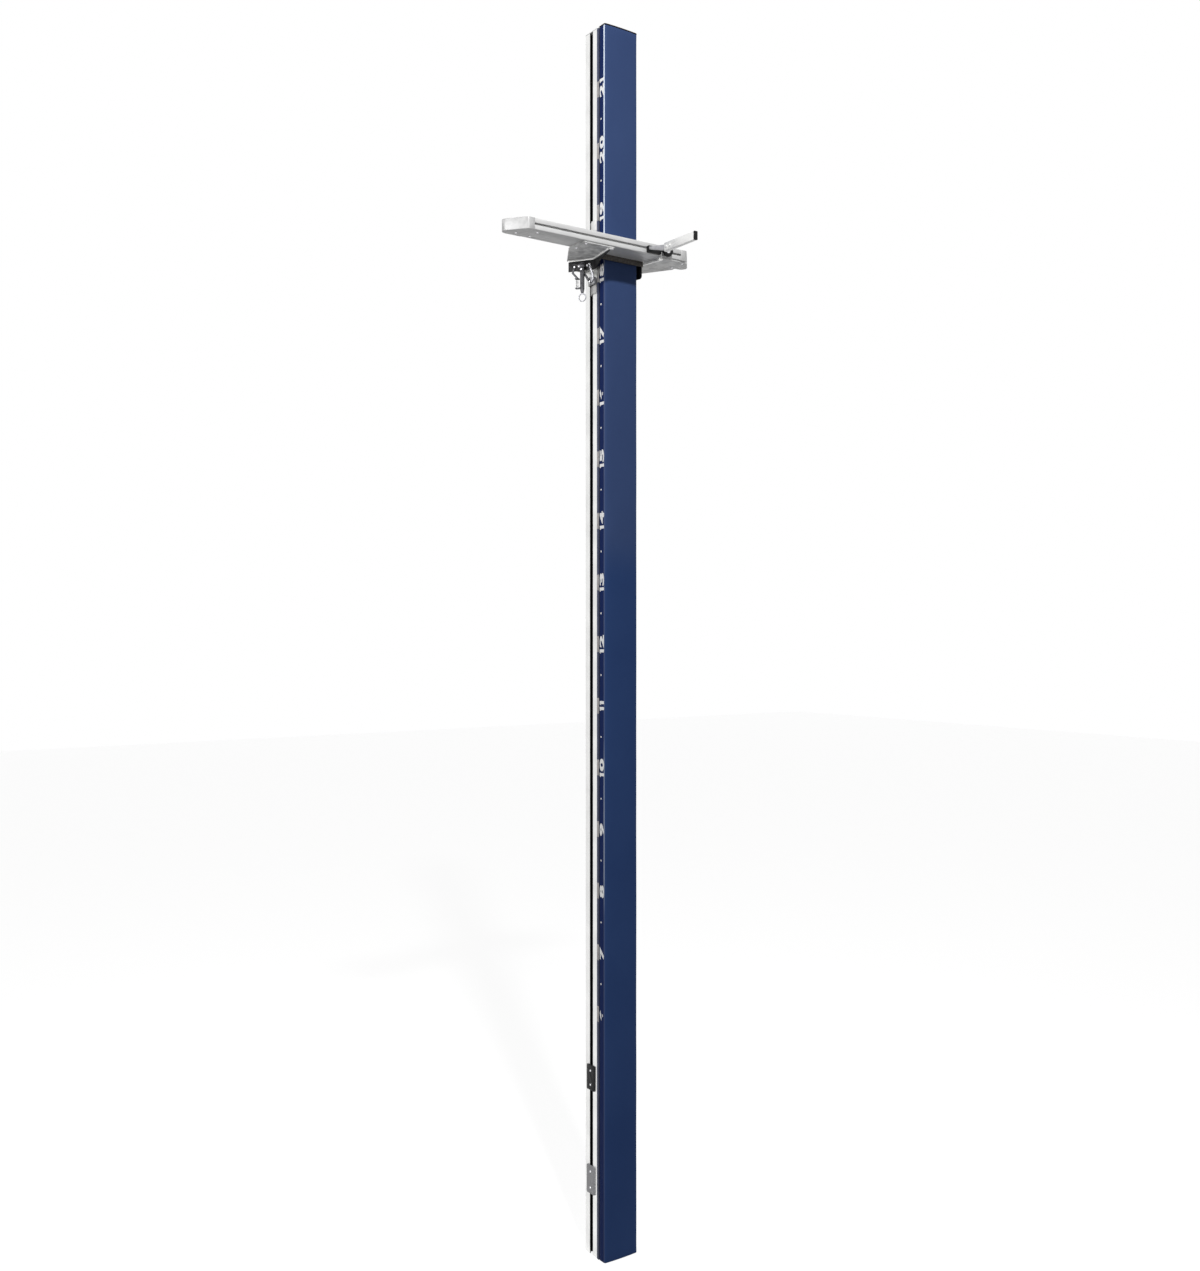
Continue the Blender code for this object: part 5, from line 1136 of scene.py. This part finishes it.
head_mesh = bpy.data.meshes.new("socket_head")
head_bmesh = socket_head()
head_bmesh.to_mesh(head_mesh)
head_bmesh.free()
print("socket head:", len(head_mesh.polygons), "faces")

# %% [markdown]
# A seat is a frame whose third axis points away from the face. All the heads of a set are one object.

# %% Seats for the heads
def seat(place, outward):
    """A frame at a place, with its third axis pointing outward."""
    return Matrix.Translation(place) @ Vector(outward).to_track_quat("Z", "Y").to_matrix().to_4x4()


def heads(name, body, seats, finish=bright_zinc):
    """Puts a copy of the head on each seat, all in one object."""
    gathered = bmesh.new()
    for frame_here in seats:
        copy = head_mesh.copy()
        copy.transform(frame_here)
        gathered.from_mesh(copy)
        bpy.data.meshes.remove(copy)
    finished(gathered, name, finish, body)


def middle_of(node):
    low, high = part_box(node)
    return (low + high) / 2


# %% [markdown]
# Every place below starts from a face or an edge of the piece that the screw holds. A reach is the distance
# from a middle, and an inset is the distance from an edge.

# %% Screws on flat faces
STOP_REACH = 0.035
BASE_REACH = 0.0395
CAP_INSET = 0.034
CAP_NOSE_REACH = 0.047
CAP_FRONT_INSET = 0.033
CAP_BACK_INSET = 0.028
CAP_NOSE_INSET = 0.038
FLANGE_THICKNESS = 0.006
WING_BACK_INSET = 0.024
TUBE_INSETS = (0.0176, 0.0429)
BLOCK_LEFT_INSET = 0.026
BLOCK_RIGHT_INSET = 0.014
STRAP_REACH = 0.095
STRAP_HEIGHT = 0.010


def plate_seats(plate_name, side, reach):
    """The two screws of a slot plate, above and below its middle."""
    plate_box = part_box(plate_name)
    face = plate_box[1].x if side > 0 else plate_box[0].x
    middle = middle_of(plate_name).z
    return [seat((face, 0, middle + sign * reach), (side, 0, 0)) for sign in (-1, 1)]


plate_screws = []
for word, side in (("left", -1), ("right", 1)):
    plate_screws += plate_seats(f"stop_plate_{word}", side, STOP_REACH)
    plate_screws += plate_seats(f"base_plate_{word}", side, BASE_REACH)
heads("plate_screw_heads", "standard", plate_screws)

arm_low, arm_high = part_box("cross_arm")
cap_screws = []
for side, arm_end in ((-1, arm_low.x), (1, arm_high.x)):
    for x, y in (
        (arm_end - side * CAP_INSET, arm_low.y + CAP_FRONT_INSET),
        (arm_end - side * CAP_INSET, arm_high.y - CAP_BACK_INSET),
        (arm_end + side * CAP_NOSE_REACH, arm_high.y - CAP_NOSE_INSET),
    ):
        cap_screws.append(seat((x, y, arm_low.z), (0, 0, -1)))
heads("end_cap_screws", "carriage", cap_screws)

flange_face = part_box("wing_bracket_left")[1].z - FLANGE_THICKNESS
wing_screws = []
for name in sides("wing_screw"):
    front = middle_of(name)
    for y in (front.y, arm_high.y - WING_BACK_INSET):
        wing_screws.append(seat((front.x, y, flange_face), (0, 0, -1)))
heads("wing_screw_heads", "carriage", wing_screws)

tube_low, tube_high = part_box("peg_tube")
tube_middle = middle_of("peg_tube").z
peg_screws = [seat((tube_low.x, tube_high.y - inset, tube_middle), (-1, 0, 0)) for inset in TUBE_INSETS]
heads("peg_screw_heads", "peg_body", peg_screws, peg_silver)

block_low, block_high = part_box("slide_block")
block_screws = [
    seat((x, block_low.y, middle_of("cross_arm").z), (0, -1, 0))
    for x in (block_low.x + BLOCK_LEFT_INSET, block_high.x - BLOCK_RIGHT_INSET)
]
heads("block_screw_heads", "peg_body", block_screws)

strap_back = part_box("front_strap")[1].y
strap_screws = [
    seat((x, strap_back, arm_low.z + STRAP_HEIGHT), (0, 1, 0)) for x in (-STRAP_REACH, STRAP_REACH)
]
heads("strap_screw_heads", "carriage", strap_screws)

# %% [markdown]
# Three screws hold each side plate: two through the feet of the rod guide and one through the spring's
# anchor, so on the left their heads stand one strap's thickness out from the plate. Their wall is slanted,
# so the places are given along it, from its rear end, and in height. The right plate is the mirror image of
# the left one.

# %% Screws on the slanted walls
WALL_REAR = Vector((-0.197, 0.061, 0))
WALL_ALONG = Vector((0.076, -0.115, 0)).normalized()
WALL_OUT = Vector((WALL_ALONG.y, -WALL_ALONG.x, 0))
WALL_PLACES = ((0.0345, 4.916), (0.0584, 4.917), (0.1016, 4.917))
STRAP_DEPTH = 0.0033
wall_screws = []
for side, depth in ((1, STRAP_DEPTH), (-1, 0)):
    for along, height in WALL_PLACES:
        place = WALL_REAR + WALL_ALONG * along + WALL_OUT * depth + Vector((0, 0, height))
        place.x *= side
        wall_screws.append(seat(place, (WALL_OUT.x * side, WALL_OUT.y, 0)))
heads("wall_screw_heads", "carriage", wall_screws)
